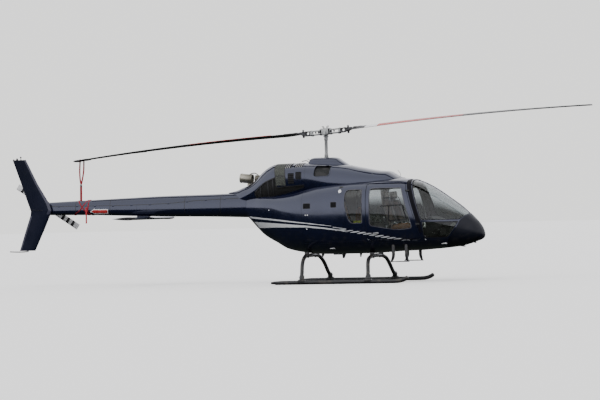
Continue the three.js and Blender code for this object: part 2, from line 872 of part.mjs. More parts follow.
// A grip holds a blade's root: a tapered bar, open sideways near the yoke, with the blade's upright bolt.
function bladeGrip(direction) {
  const profile = [
    [YOKE_END + SEAM, -46],
    [450, -40],
    [GRIP_END, 0],
    [GRIP_END, 38],
    [470, 48],
    [YOKE_END + SEAM, 50],
  ];
  const bar = profileAcross(profile.map(([r, z]) => [direction * r, z]), 62, 0);
  const eye = cylinder(23, [direction * 385, -200, 3], [direction * 385, 200, 3], 14);
  const bolt = cylinder(20, [direction * 490, 0, -78], [direction * 490, 0, 92], 12);
  return bar.subtract(eye).add(bolt);
}

function rotorMast() {
  const parts = [
    cylinder(37, [0, 0, 2140], [0, 0, HUB_Z + 13], 20),
    cylinder(118, [0, 0, 2535], [0, 0, 2562], 28),
  ];
  for (const end of [-1, 1]) {
    parts.push(cylinder(13, [0, end * 108, 2555], [0, end * 108, HUB_Z - 73], 10));
  }
  return union(parts);
}

function tailBlade(direction) {
  const rows = [
    { at: 88.5, lead: 40, trail: -45, thick: 20 },
    { at: 190, lead: 62, trail: -68, thick: 17 },
    { at: TAIL_ROTOR_RADIUS, lead: 62, trail: -68, thick: 13 },
  ];
  return wing(rows, (across, offset, at) => [direction * at, offset, direction * across], 6);
}

function tailRotorHub() {
  return union([
    box([-88, -14, -34], [88, 14, 34]),
    cylinder(36, [0, -46, 0], [0, 40, 0], 18),
    cylinder(20, [0, 40, 0], [0, 62, 0], 14),
  ]);
}

// Assembly

const helicopter = new THREE.Group();
const fromMast = new THREE.Group();
fromMast.position.x = MAST_X;
helicopter.add(fromMast);

fromMast.add(
  node("belly_tub", bellyTub(), "navy"),
  node("cabin_floor", cabinFloor(), "greyPlastic"),
  node("cabin_rear_shell", cabinRearShell(), "navy"),
  node("cabin_front_frame", cabinFrontFrame(), "navy"),
  node("nose_cone", noseCone(), "navy"),
  ...frontPanes(RIGHT, "right"),
  ...frontPanes(LEFT, "left"),
  node("rear_window_right", pane(REAR_WINDOW, RIGHT), "glass"),
  node("aft_fuselage", aftFuselage(), "navy"),
  node("instrument_console", instrumentConsole(), "greyPlastic"),
  node("pilot_seat", seat(1540, 1160, 205, -315), "tanLeather"),
  node("copilot_seat", seat(1540, 1160, 205, 315), "tanLeather"),
  node("rear_bench", seat(330, 1170, 590, 0), "tanLeather"),
);

fromMast.add(
  node("right_door", doorPanel(FRONT_DOOR, FRONT_DOOR_WINDOW, RIGHT), "navy"),
  node("right_door_window", pane(FRONT_DOOR_WINDOW, RIGHT), "glass"),
  node("left_front_door", doorPanel(FRONT_DOOR, FRONT_DOOR_WINDOW, LEFT), "navy"),
  node("left_front_door_window", pane(FRONT_DOOR_WINDOW, LEFT), "glass"),
  node("left_rear_door", doorPanel(REAR_DOOR, REAR_WINDOW, LEFT), "navy"),
  node("left_rear_door_window", pane(REAR_WINDOW, LEFT), "glass"),
  node("baggage_door", baggageDoor(), "navy"),
);

fromMast.add(
  node("forward_cowl", forwardCowl(), "navy"),
  node("engine_cowl", engineCowl(), "navy"),
  node("exhaust_duct", exhaustDuct(), "exhaustSteel"),
  node("engine", engine(), "engineMetal"),
  node("gearbox", cylinder(200, [0, 0, 2020], [0, 0, 2400], 20).subtract(bodyGrown)
    .subtract(cylinder(60, [0, 0, 2000], [0, 0, 2500], 20)), "engineMetal"),
);

fromMast.add(
  node("tail_boom", tailBoom(), "navy"),
  node("driveshaft_cover", shaftCover(), "navy"),
  node("vertical_fin", verticalFin(), "navy"),
  node("horizontal_stabilizer", horizontalStabilizer(), "navy"),
  node("tail_rotor_gearbox", tailRotorGearbox(), "engineMetal"),
  node("tail_skid", tailSkid(), "bareMetal"),
);

for (const [name, row] of Object.entries(CROSS_TUBES)) {
  fromMast.add(node(name, crossTube(row), "black"));
}
for (const [side, word] of [
  [RIGHT, "right"],
  [LEFT, "left"],
]) {
  fromMast.add(node(`skid_${word}`, skid(side), "black"));
  fromMast.add(node(`step_${word}`, step(side), "black"));
}

fromMast.add(node("rotor_mast", rotorMast(), "bareMetal"));
const head = new THREE.Group();
head.position.z = HUB_Z;
head.rotation.y = -ROTOR_TILT; // the nose end of the rotor goes up
head.add(
  node("rotor_yoke", rotorYoke(), "bareMetal"),
  node("blade_grip_front", bladeGrip(1), "greyPlastic"),
  node("blade_grip_rear", bladeGrip(-1), "greyPlastic"),
  node("main_blade_front", mainBlade(1), "bladePaint"),
  node("main_blade_rear", mainBlade(-1), "bladePaint"),
);
fromMast.add(head);

const tailRotor = new THREE.Group();
tailRotor.position.set(TAIL_ROTOR.x, TAIL_ROTOR.y, TAIL_ROTOR.z);
tailRotor.rotation.y = TAIL_ROTOR_ANGLE;
tailRotor.add(
  node("tail_rotor_hub", tailRotorHub(), "bareMetal"),
  node("tail_blade_front", tailBlade(1), "bladePaint"),
  node("tail_blade_rear", tailBlade(-1), "bladePaint"),
);
fromMast.add(tailRotor);

export default helicopter;
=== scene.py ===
"""The looks of a light helicopter parked on its skids: smooth painted shells, glazing, a furnished
cabin, and the rotor with the strap that ties its rear blade down. Metres, +X to the nose, +Y to the
left, +Z up."""

import math

import bmesh
import bpy
import numpy as np
from mathutils import Matrix, Vector


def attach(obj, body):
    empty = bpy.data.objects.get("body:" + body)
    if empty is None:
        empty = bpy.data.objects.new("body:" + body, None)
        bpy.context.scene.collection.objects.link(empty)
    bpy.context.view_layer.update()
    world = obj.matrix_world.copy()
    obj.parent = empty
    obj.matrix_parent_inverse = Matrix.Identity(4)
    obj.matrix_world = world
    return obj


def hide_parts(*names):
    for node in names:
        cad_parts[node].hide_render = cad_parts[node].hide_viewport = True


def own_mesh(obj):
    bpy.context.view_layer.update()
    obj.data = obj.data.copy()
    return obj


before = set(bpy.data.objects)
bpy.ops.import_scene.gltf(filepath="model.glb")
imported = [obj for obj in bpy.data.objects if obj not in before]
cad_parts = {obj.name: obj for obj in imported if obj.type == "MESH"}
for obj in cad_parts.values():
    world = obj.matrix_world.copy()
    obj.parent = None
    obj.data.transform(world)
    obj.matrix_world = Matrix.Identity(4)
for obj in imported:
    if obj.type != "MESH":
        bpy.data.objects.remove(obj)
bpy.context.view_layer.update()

# Driving dimensions, in metres like everything here. Places are counted from the mast's axis, which is
# MAST_X ahead of the frame's origin.
MAST_X = 0.7590
WALL = 0.035
COWL_WALL = 0.022
BOOM_WALL = 0.016
GLASS = 0.008
GLASS_INSET = 0.010
SEAM = 0.0025
DOOR_GAP = 0.008
SILL_GAP = 0.016
# A shallow relief in each front sill, over which the door's lower front corner swings: rear, front, near,
# far, depth.
SILL_RELIEF = (1.950, 2.064, 0.530, 0.680, 0.018)
RIGHT = -1
LEFT = 1
SIDES = ((RIGHT, "right"), (LEFT, "left"))

DECK_Z = 0.870
BULKHEAD_X = -0.350
DOOR_POST_X = 1.040
BOOM_X = -1.720
COWL_SPLIT_X = -0.330

HUB = (0.0, 0.0, 3.133)
ROTOR_TILT = math.radians(4.2)
ROTOR_RADIUS = 5.640
TAIL_ROTOR_RADIUS = 0.825
TAIL_ROTOR = (-6.420, 0.330, 1.722)
TAIL_ROTOR_ANGLE = math.radians(32.8)
FIN_Y = -0.150

# The camera, fitted to the photograph, and the round stage.
PHOTO_WIDTH = 600
FLOOR_RADIUS = 160.0
BACKDROP_RADIUS = 159.0
BACKDROP_HEIGHT = 160.0
BACKDROP_MIDDLE = 79.0
FLOOR_GLOW = 0.55
BACKDROP_GLOW = 1.88
SKY_STRENGTH = 1.35
LAMP_STRENGTH = 1.3
LAMP_SPREAD = math.radians(50)
LAMP_TURN = (math.radians(38), math.radians(-12), math.radians(10))
SENSOR_WIDTH = 36.0
FAR_CLIP = 1000.0
CAMERA_AZIMUTH = math.radians(17.5)
CAMERA_DISTANCE = 60.0
CAMERA_HEIGHT = 1.62
CAMERA_ROLL = math.radians(1.4)
FOCAL_LENGTH_PX = 2892.0
MAST_RIGHT_OF_CENTRE_PX = 27.5
HORIZON_BELOW_CENTRE_PX = 5.46

# Sections of the fuselage, front to back: x, bottom, top, half width, height of the widest line,
# roundness of the upper half and of the lower half (2 is an ellipse, more is squarer).
FUSELAGE = [
    (3.352, 0.930, 0.940, 0.004, 0.935, 2.0, 2.0),
    (3.347, 0.905, 0.985, 0.045, 0.938, 2.0, 2.0),
    (3.332, 0.876, 1.035, 0.088, 0.948, 2.0, 2.0),
    (3.300, 0.850, 1.110, 0.135, 0.965, 2.0, 2.0),
    (3.180, 0.803, 1.262, 0.240, 1.005, 2.0, 2.0),
    (3.040, 0.757, 1.400, 0.325, 1.045, 2.05, 2.1),
    (2.900, 0.722, 1.528, 0.400, 1.085, 2.1, 2.15),
    (2.660, 0.690, 1.705, 0.505, 1.145, 2.2, 2.25),
    (2.400, 0.668, 1.885, 0.592, 1.205, 2.35, 2.35),
    (2.230, 0.657, 1.985, 0.640, 1.245, 2.5, 2.4),
    (2.060, 0.645, 2.062, 0.680, 1.285, 2.75, 2.45),
    (1.860, 0.639, 2.112, 0.715, 1.325, 3.1, 2.5),
    (1.600, 0.630, 2.132, 0.742, 1.355, 3.3, 2.6),
    (1.340, 0.615, 2.130, 0.757, 1.380, 3.4, 2.6),
    (0.850, 0.595, 2.112, 0.765, 1.400, 3.4, 2.6),
    (0.350, 0.590, 2.092, 0.763, 1.400, 3.3, 2.6),
    (0.000, 0.597, 2.068, 0.745, 1.400, 3.1, 2.5),
    (-0.350, 0.624, 2.008, 0.700, 1.430, 2.9, 2.4),
    (-0.600, 0.660, 1.950, 0.645, 1.465, 2.7, 2.3),
    (-0.850, 0.722, 1.905, 0.568, 1.510, 2.6, 2.25),
    (-1.080, 0.850, 1.880, 0.480, 1.570, 2.5, 2.2),
    (-1.350, 1.010, 1.880, 0.380, 1.590, 2.4, 2.2),
    (-1.520, 1.175, 1.895, 0.300, 1.595, 2.3, 2.2),
    (-1.720, 1.400, 1.915, 0.215, 1.600, 2.2, 2.2),
]

# Sections of the tail boom, with the same columns.
BOOM = [
    (-1.720, 1.398, 1.915, 0.215, 1.608, 2.3, 2.2),
    (-2.600, 1.430, 1.899, 0.200, 1.606, 2.3, 2.2),
    (-3.600, 1.456, 1.890, 0.185, 1.608, 2.3, 2.2),
    (-4.500, 1.490, 1.866, 0.162, 1.618, 2.3, 2.2),
    (-5.300, 1.523, 1.842, 0.135, 1.628, 2.3, 2.2),
    (-6.150, 1.540, 1.816, 0.105, 1.632, 2.3, 2.2),
    (-6.500, 1.556, 1.803, 0.092, 1.638, 2.3, 2.2),
]

# Sections of the cowlings over the gearbox and the engine, with the same columns.
COWL = [
    (1.670, 1.850, 2.142, 0.240, 2.050, 2.2, 2.0),
    (1.570, 1.850, 2.172, 0.330, 2.050, 2.3, 2.0),
    (1.480, 1.850, 2.228, 0.380, 2.050, 2.4, 2.0),
    (1.360, 1.850, 2.286, 0.425, 2.050, 2.5, 2.0),
    (1.210, 1.850, 2.300, 0.455, 2.045, 2.6, 2.0),
    (0.800, 1.840, 2.374, 0.505, 2.042, 2.6, 2.6),
    (0.500, 1.830, 2.435, 0.525, 2.050, 2.6, 2.6),
    (0.200, 1.800, 2.470, 0.532, 2.075, 2.6, 2.6),
    (-0.330, 1.750, 2.498, 0.520, 2.170, 2.6, 2.6),
    (-0.700, 1.700, 2.497, 0.490, 2.190, 2.6, 2.6),
    (-1.050, 1.650, 2.490, 0.425, 2.170, 2.6, 2.6),
    (-1.200, 1.640, 2.441, 0.385, 2.130, 2.5, 2.5),
    (-1.330, 1.630, 2.359, 0.345, 2.070, 2.4, 2.4),
    (-1.510, 1.620, 2.197, 0.285, 1.950, 2.3, 2.2),
    (-1.670, 1.620, 2.085, 0.235, 1.870, 2.2, 2.0),
    (-1.850, 1.620, 2.013, 0.185, 1.800, 2.1, 2.0),
    (-2.000, 1.640, 1.955, 0.135, 1.755, 2.0, 2.0),
    (-2.160, 1.660, 1.925, 0.070, 1.755, 2.0, 2.0),
]

# Sections of the raised fairing round the mast, with the same columns.
MAST_FAIRING = [
    (0.500, 2.250, 2.430, 0.190, 2.300, 3.0, 2.0),
    (0.350, 2.250, 2.529, 0.235, 2.300, 3.0, 2.0),
    (0.250, 2.250, 2.592, 0.258, 2.300, 3.2, 2.0),
    (0.150, 2.250, 2.604, 0.265, 2.300, 3.4, 2.0),
    (-0.200, 2.250, 2.606, 0.265, 2.300, 3.4, 2.0),
    (-0.300, 2.250, 2.592, 0.255, 2.300, 3.2, 2.0),
    (COWL_SPLIT_X, 2.250, 2.560, 0.245, 2.300, 3.0, 2.0),
]

# Outlines in side view. Each corner is x, z, radius.
FRONT_DOOR = [(1.040, 0.870, 0.070), (2.167, 0.870, 0.090), (1.838, 2.025, 0.050), (1.040, 2.025, 0.050)]
FRONT_DOOR_WINDOW = [
    (1.112, 1.170, 0.080),
    (1.700, 1.068, 0.200),
    (2.003, 1.105, 0.060),
    (1.772, 1.940, 0.040),
    (1.116, 1.940, 0.090),
]
REAR_DOOR = [(0.420, 0.870, 0.060), (1.040, 0.870, 0.060), (1.040, 2.025, 0.050), (0.420, 2.010, 0.090)]
REAR_WINDOW = [
    (0.700, 1.225, 0.090),
    (0.965, 1.225, 0.035),
    (0.965, 1.922, 0.040),
    (0.600, 1.922, 0.110),
    (0.580, 1.560, 0.200),
]
BAGGAGE_DOOR = [
    (-0.880, 1.150, 0.060), (-0.430, 1.080, 0.060), (-0.430, 1.660, 0.060), (-0.880, 1.660, 0.060)
]
BAGGAGE_TURN = math.radians(16)
WINDSHIELD = [
    (2.180, 1.262, 0.030),
    (1.880, 2.300, 0.010),
    (3.300, 2.300, 0.010),
    (3.300, 1.563, 0.010),
    (3.068, 1.385, 0.010),
    (2.905, 1.262, 0.020),
]
CHIN_WINDOW = [
    (2.195, 1.225, 0.020),
    (2.893, 1.225, 0.020),
    (2.825, 1.100, 0.080),
    (2.712, 0.940, 0.040),
    (2.672, 0.903, 0.030),
    (2.215, 0.903, 0.050),
]
SHAFT_COVER_EDGE = [
    (BOOM_X, 1.805),
    (-2.770, 1.775),
    (-3.440, 1.728),
    (-3.900, 1.715),
    (-4.700, 1.708),
    (-5.400, 1.715),
    (-6.240, 1.723),
]
NOSE_EDGE = [
    (3.300, 1.540),
    (3.100, 1.390),
    (2.940, 1.268),
    (2.858, 1.105),
    (2.745, 0.940),
    (2.640, 0.800),
    (2.540, 0.600),
]
AIR_INTAKE = [(-0.130, 2.205, 0.060), (0.205, 2.215, 0.060), (0.215, 2.420, 0.040), (-0.110, 2.430, 0.060)]
ENGINE_SCREEN = [
    (-1.500, 1.905, 0.030),
    (-1.430, 1.770, 0.020),
    (-1.115, 1.815, 0.010),
    (-0.750, 1.885, 0.010),
    (-0.345, 1.992, 0.015),
    (-0.345, 2.040, 0.015),
    (-0.745, 2.016, 0.010),
    (-0.960, 2.003, 0.010),
    (-0.970, 2.221, 0.040),
    (-1.253, 2.115, 0.060),
]


# Camera, floor and light


def photo_camera():
    """The camera as in the photograph: far away, level with the cabin, slightly rolled."""
    right = Vector((math.cos(CAMERA_AZIMUTH), math.sin(CAMERA_AZIMUTH), 0))
    forward = Vector((-math.sin(CAMERA_AZIMUTH), math.cos(CAMERA_AZIMUTH), 0))
    up = Vector((0, 0, 1))
    look = forward - right * (MAST_RIGHT_OF_CENTRE_PX / FOCAL_LENGTH_PX)
    look = (look + up * (HORIZON_BELOW_CENTRE_PX / FOCAL_LENGTH_PX)).normalized()
    level_right = look.cross(up).normalized()
    level_up = level_right.cross(look)
    camera_right = level_right * math.cos(CAMERA_ROLL) - level_up * math.sin(CAMERA_ROLL)
    camera_up = camera_right.cross(look)
    camera = bpy.data.objects.new("camera", bpy.data.cameras.new("camera"))
    turn = Matrix((camera_right, camera_up, -look)).transposed()
    camera.matrix_world = Matrix.Translation(
        Vector((MAST_X, 0, CAMERA_HEIGHT)) - forward * CAMERA_DISTANCE
    ) @ turn.to_4x4()
    camera.data.sensor_width = SENSOR_WIDTH
    camera.data.lens = SENSOR_WIDTH * FOCAL_LENGTH_PX / PHOTO_WIDTH
    camera.data.clip_end = FAR_CLIP
    bpy.context.scene.collection.objects.link(camera)
    bpy.context.scene.camera = camera


def new_material(name):
    material = bpy.data.materials.new(name)
    material.use_nodes = True
    tree = material.node_tree
    return material, tree, tree.nodes["Principled BSDF"]


def stage_and_light():
    """A pale floor that meets a pale round backdrop, under an even sky."""
    material, tree, shader = new_material("studio_floor")
    shader.inputs["Roughness"].default_value = 0.9
    noise = tree.nodes.new("ShaderNodeTexNoise")
    noise.inputs["Scale"].default_value = 0.6
    ramp = tree.nodes.new("ShaderNodeValToRGB")
    ramp.color_ramp.elements[0].color = (0.77, 0.77, 0.755, 1)
    ramp.color_ramp.elements[1].color = (0.82, 0.82, 0.805, 1)
    tree.links.new(noise.outputs["Fac"], ramp.inputs["Fac"])
    tree.links.new(ramp.outputs["Color"], shader.inputs["Base Color"])
    tree.links.new(ramp.outputs["Color"], shader.inputs["Emission Color"])
    shader.inputs["Emission Strength"].default_value = FLOOR_GLOW
    bm = bmesh.new()
    bmesh.ops.create_circle(bm, cap_ends=True, radius=FLOOR_RADIUS, segments=96)
    floor = mesh_object("floor", finished(bm), material)
    floor.visible_glossy = False
    floor.visible_diffuse = False

    backdrop_material = bpy.data.materials.new("studio_backdrop")
    backdrop_material.use_nodes = True
    tree = backdrop_material.node_tree
    tree.nodes.clear()
    glow = tree.nodes.new("ShaderNodeEmission")
    glow.inputs["Color"].default_value = (0.80, 0.80, 0.79, 1)
    glow.inputs["Strength"].default_value = BACKDROP_GLOW
    output = tree.nodes.new("ShaderNodeOutputMaterial")
    tree.links.new(glow.outputs["Emission"], output.inputs["Surface"])
    bm = bmesh.new()
    bmesh.ops.create_cone(
        bm, segments=96, radius1=BACKDROP_RADIUS, radius2=BACKDROP_RADIUS, depth=BACKDROP_HEIGHT
    )
    bmesh.ops.translate(bm, verts=bm.verts, vec=(0, 0, BACKDROP_MIDDLE))
    backdrop = mesh_object("backdrop", finished(bm), backdrop_material)
    for kind in ("diffuse", "glossy", "transmission", "shadow", "volume_scatter"):
        setattr(backdrop, "visible_" + kind, False)

    world = bpy.data.worlds.new("studio_sky")
    world.use_nodes = True
    tree = world.node_tree
    background = tree.nodes["Background"]
    place = tree.nodes.new("ShaderNodeTexCoord")
    split = tree.nodes.new("ShaderNodeSeparateXYZ")
    sky = tree.nodes.new("ShaderNodeValToRGB")
    sky.color_ramp.interpolation = "EASE"
    elements = sky.color_ramp.elements
    elements[0].position = 0.5005
    elements[0].color = (0.020, 0.024, 0.020, 1)
    elements[1].position = 0.5025
    elements[1].color = (1.0, 1.0, 1.08, 1)
    zenith = elements.new(0.95)
    zenith.color = (0.82, 0.82, 0.84, 1)
    to_ramp = tree.nodes.new("ShaderNodeMapRange")
    to_ramp.inputs["From Min"].default_value = -1.0
    tree.links.new(place.outputs["Generated"], split.inputs["Vector"])
    tree.links.new(split.outputs["Z"], to_ramp.inputs["Value"])
    tree.links.new(to_ramp.outputs["Result"], sky.inputs["Fac"])
    tree.links.new(sky.outputs["Color"], background.inputs["Color"])
    background.inputs["Strength"].default_value = SKY_STRENGTH
    bpy.context.scene.world = world

    lamp = bpy.data.objects.new("soft_light", bpy.data.lights.new("soft_light", "SUN"))
    lamp.data.energy = LAMP_STRENGTH
    lamp.data.angle = LAMP_SPREAD
    lamp.visible_glossy = False
    lamp.rotation_euler = LAMP_TURN
    bpy.context.scene.collection.objects.link(lamp)


# Mesh tools


def points_of(mesh):
    points = np.empty(len(mesh.vertices) * 3)
    mesh.vertices.foreach_get("co", points)
    return points.reshape(-1, 3)


def around(count):
    """Angles in even steps round a full turn."""
    return [2 * math.pi * k / count for k in range(count)]


def finished(bm):
    mesh = bpy.data.meshes.new("made")
    bm.to_mesh(mesh)
    bm.free()
    return mesh


def mesh_object(name, mesh, material=None):
    mesh.name = name
    obj = bpy.data.objects.new(name, mesh)
    bpy.context.scene.collection.objects.link(obj)
    if material is not None:
        with_material(mesh, material)
    return obj


def mesh_of(points, faces):
    mesh = bpy.data.meshes.new("made")
    mesh.from_pydata([tuple(map(float, p)) for p in points], [], faces)
    mesh.validate()
    return mesh


def outward(mesh):
    """The mesh with all its faces turned outwards."""
    bm = bmesh.new()
    bm.from_mesh(mesh)
    bmesh.ops.recalc_face_normals(bm, faces=bm.faces)
    return finished(bm)


def bevelled(mesh, width, segments=2, sharper_than=None):
    """The mesh with all its edges softened, or only those sharper than an angle in radians."""
    bm = bmesh.new()
    bm.from_mesh(mesh)
    edges = bm.edges[:]
    if sharper_than is not None:
        edges = [e for e in edges if len(e.link_faces) == 2 and e.calc_face_angle() > sharper_than]
    bmesh.ops.bevel(bm, geom=edges, offset=width, segments=segments, profile=0.5, affect="EDGES")
    return finished(bm)


def with_material(mesh, *materials):
    mesh.materials.clear()
    for material in materials:
        mesh.materials.append(material)
    return mesh


def joined(meshes):
    bm = bmesh.new()
    for mesh in meshes:
        bm.from_mesh(mesh)
    return finished(bm)


def combine(base, tool, operation):
    """A new mesh: base and tool after a boolean of closed meshes."""
    holder = bpy.data.objects.new("holder", base)
    cutter = bpy.data.objects.new("cutter", tool)
    for obj in (holder, cutter):
        bpy.context.scene.collection.objects.link(obj)
    modifier = holder.modifiers.new("boolean", "BOOLEAN")
    modifier.operation = operation
    modifier.object = cutter
    modifier.solver = "MANIFOLD"
    graph = bpy.context.evaluated_depsgraph_get()
    made = bpy.data.meshes.new_from_object(holder.evaluated_get(graph))
    for obj in (holder, cutter):
        bpy.data.objects.remove(obj)
    return made


def minus(base, *tools):
    for tool in tools:
        base = combine(base, tool, "DIFFERENCE")
    return base


def plus(base, *tools):
    for tool in tools:
        base = combine(base, tool, "UNION")
    return base


def within(base, *tools):
    for tool in tools:
        base = combine(base, tool, "INTERSECT")
    return base


def skin(rings):
    """A closed mesh over rings of points, its ends closed by fans."""
    rings = np.asarray(rings, float)
    count = rings.shape[1]
    points = list(rings.reshape(-1, 3))
    faces = []
    for r in range(len(rings) - 1):
        for i in range(count):
            a, b = r * count + i, r * count + (i + 1) % count
            faces.append((a, b, b + count, a + count))
    for ring, forward in ((0, True), (len(rings) - 1, False)):
        centre = len(points)
        points.append(rings[ring].mean(0))
        for i in range(count):
            a, b = ring * count + i, ring * count + (i + 1) % count
            faces.append((centre, b, a) if forward else (centre, a, b))
    return outward(mesh_of(points, faces))


def box(low, high):
    """A plain cutter between two corners."""
    corners = [(x, y, z) for x in (low[0], high[0]) for y in (low[1], high[1]) for z in (low[2], high[2])]
    faces = [(0, 1, 3, 2), (4, 6, 7, 5), (0, 4, 5, 1), (2, 3, 7, 6), (0, 2, 6, 4), (1, 5, 7, 3)]
    return mesh_of(corners, faces)


def wide_box(rear, front, low, high):
    """A plain cutter over the whole breadth."""
    return box((rear, -2, low), (front, 2, high))


def prism(outline, y_low, y_high):
    """A side-view outline driven across the body between two values of y."""
    count = len(outline)
    points = [(x, y, z) for y in (y_low, y_high) for x, z in outline]
    faces = [tuple(range(count)), tuple(reversed(range(count, 2 * count)))]
    for i in range(count):
        j = (i + 1) % count
        faces.append((j, i, i + count, j + count))
    return outward(mesh_of(points, faces))


def side_prism(outline, side, near=0.15, far=1.3):
    return prism(outline, *sorted((side * near, side * far)))


def rectangle(rear, front, low, high, radius):
    return [(rear, low, radius), (front, low, radius), (front, high, radius), (rear, high, radius)]


def draw_in(corners, distance):
    """Corners moved inwards so that the outline's edges stay parallel."""
    count = len(corners)
    area = sum(
        corners[i][0] * corners[(i + 1) % count][1] - corners[(i + 1) % count][0] * corners[i][1]
        for i in range(count)
    )
    turn = math.copysign(1, area)
    edges = []
    for i in range(count):
        (x, z, _), (next_x, next_z, _) = corners[i], corners[(i + 1) % count]
        length = math.hypot(next_x - x, next_z - z)
        nx, nz = -turn * (next_z - z) / length, turn * (next_x - x) / length
        edges.append((nx, nz, nx * x + nz * z + distance))
    moved = []
    for i in range(count):
        (ax, az, ao), (bx, bz, bo) = edges[i - 1], edges[i]
        det = ax * bz - az * bx
        radius = max(corners[i][2] - distance, 0.003)
        moved.append(((ao * bz - bo * az) / det, (ax * bo - bx * ao) / det, radius))
    return moved


def rounded(corners, steps=6):
    """The points of an outline whose corners are rounded."""
    points = []
    for i, (x, z, radius) in enumerate(corners):
        ends = []
        for px, pz, _ in (corners[i - 1], corners[(i + 1) % len(corners)]):
            length = math.hypot(px - x, pz - z)
            share = min(radius / length, 0.45)
            ends.append((x + (px - x) * share, z + (pz - z) * share))
        (sx, sz), (ex, ez) = ends
        for k in range(steps + 1):
            t = k / steps
            a, b, c = (1 - t) ** 2, 2 * t * (1 - t), t * t
            points.append((a * sx + b * x + c * ex, a * sz + b * z + c * ez))
    return points


class Loft:
    """A smooth body through a table of sections."""

    def __init__(self, rows, sides=96, spacing=0.04):
        self.rows = np.array(rows[::-1], float)
        self.sides = sides
        self.spacing = spacing
        x, values = self.rows[:, 0], self.rows[:, 1:]
        steps = np.diff(x)[:, None]
        slopes = np.diff(values, axis=0) / steps
        tangents = np.zeros_like(values)
        tangents[0], tangents[-1] = slopes[0], slopes[-1]
        for i in range(1, len(x) - 1):
            a, b = slopes[i - 1], slopes[i]
            w1, w2 = 2 * steps[i] + steps[i - 1], steps[i] + 2 * steps[i - 1]
            same = a * b > 0
            tangents[i][same] = ((w1 + w2) / (w1 / np.where(same, a, 1) + w2 / np.where(same, b, 1)))[same]
        self.tangents = tangents

    def at(self, x):
        """The columns bottom, top, half width, widest, upper and lower roundness at each x."""
        x = np.clip(np.asarray(x, float), self.rows[0, 0], self.rows[-1, 0])
        i = np.clip(np.searchsorted(self.rows[:, 0], x) - 1, 0, len(self.rows) - 2)
        step = self.rows[i + 1, 0] - self.rows[i, 0]
        t = ((x - self.rows[i, 0]) / step)[..., None]
        step = step[..., None]
        a, b = self.rows[i, 1:], self.rows[i + 1, 1:]
        return (
            (2 * t**3 - 3 * t**2 + 1) * a + (t**3 - 2 * t**2 + t) * step * self.tangents[i]
            + (3 * t**2 - 2 * t**3) * b + (t**3 - t**2) * step * self.tangents[i + 1]
        )

    def stations(self, front, back):
        front, back = min(front, self.rows[-1, 0]), max(back, self.rows[0, 0])
        count = max(int((front - back) / self.spacing), 2)
        even = np.linspace(front, back, count + 1)
        close = front - (front - even[1]) * np.array([0.03, 0.1, 0.25, 0.5])
        return np.concatenate([even[:1], close, even[1:]])

    def mesh(self, front=9.0, back=-9.0, inset=0.0):
        x = self.stations(front, back)
        bottom, top, half_width, widest, round_top, round_bottom = (c[:, None] for c in self.at(x).T)
        angle = np.arange(self.sides) * 2 * math.pi / self.sides
        across, up = np.cos(angle)[None], np.sin(angle)[None]
        upper = up >= 0
        power = 2 / np.where(upper, round_top, round_bottom)
        height = np.where(upper, top - widest, widest - bottom) - inset
        y = np.sign(across) * np.abs(across) ** power * (half_width - inset)
        z = widest + np.sign(up) * np.abs(up) ** power * height
        return skin(np.stack([np.broadcast_to(x[:, None], y.shape), y, z], -1))

    def level(self, points, inset=0.0):
        """0 on the surface, less inside, more outside."""
        bottom, top, half_width, widest, round_top, round_bottom = self.at(points[:, 0]).T
        up = points[:, 2] - widest
        upper = up >= 0
        power = np.where(upper, round_top, round_bottom)
        height = np.where(upper, top - widest, widest - bottom) - inset
        across = np.abs(points[:, 1]) / np.maximum(half_width - inset, 1e-4)
        return (across**power + (np.abs(up) / np.maximum(height, 1e-4)) ** power) ** (1 / power) - 1

    def normals(self, points, inset=0.0, step=1e-4):
        """Outward normals, and the distance from the surface."""
        slopes = np.stack(
            [
                (self.level(points + d, inset) - self.level(points - d, inset)) / (2 * step)
                for d in np.eye(3) * step
            ],
            -1,
        )
        length = np.maximum(np.linalg.norm(slopes, axis=1), 1e-9)
        return slopes / length[:, None], self.level(points, inset) / length

    def side(self, x, z, inset=0.0):
        """The half breadth of the body at heights z."""
        x, z = np.asarray(x, float), np.asarray(z, float)
        bottom, top, half_width, widest, round_top, round_bottom = np.moveaxis(self.at(x), -1, 0)
        upper = z >= widest
        power = np.where(upper, round_top, round_bottom)
        height = np.where(upper, top - widest, widest - bottom) - inset
        share = np.clip(np.abs(z - widest) / height, 0, 1)
        return (half_width - inset) * (1 - share**power) ** (1 / power)


def shade(mesh, surfaces):
    """Gives a cut mesh the true normals of the lofts it was cut from. surfaces lists (loft, inset)."""
    count = len(mesh.polygons)
    centres = np.empty(count * 3)
    facing = np.empty(count * 3)
    mesh.polygons.foreach_get("center", centres)
    mesh.polygons.foreach_get("normal", facing)
    centres, facing = centres.reshape(-1, 3), facing.reshape(-1, 3)
    totals = np.empty(count, int)
    mesh.polygons.foreach_get("loop_total", totals)
    corners = np.empty(len(mesh.loops), int)
    mesh.loops.foreach_get("vertex_index", corners)
    points = points_of(mesh)
    face_of_loop = np.repeat(np.arange(count), totals)
    normals = facing[face_of_loop].copy()
    where = np.full(count, -1)
    for number, (surface, inset) in enumerate(surfaces):
        true, distance = surface.normals(centres, inset)
        lie = np.sum(true * facing, axis=1)
        on = (np.abs(distance) < 0.004) & (np.abs(lie) > 0.8) & (where < 0)
        where[on] = number
        loops = on[face_of_loop]
        if not loops.any():
            continue
        at_corner, _ = surface.normals(points[corners[loops]], inset)
        normals[loops] = at_corner * np.sign(lie)[face_of_loop[loops]][:, None]
    mesh.polygons.foreach_set("use_smooth", np.ones(count, bool))
    mesh.normals_split_custom_set(normals)
    return where


def smooth(mesh, angle=35):
    mesh.polygons.foreach_set("use_smooth", np.ones(len(mesh.polygons), bool))
    mesh.set_sharp_from_angle(angle=math.radians(angle))
    return mesh


# Placing pieces


def from_mast():
    return Matrix.Translation((MAST_X, 0, 0))


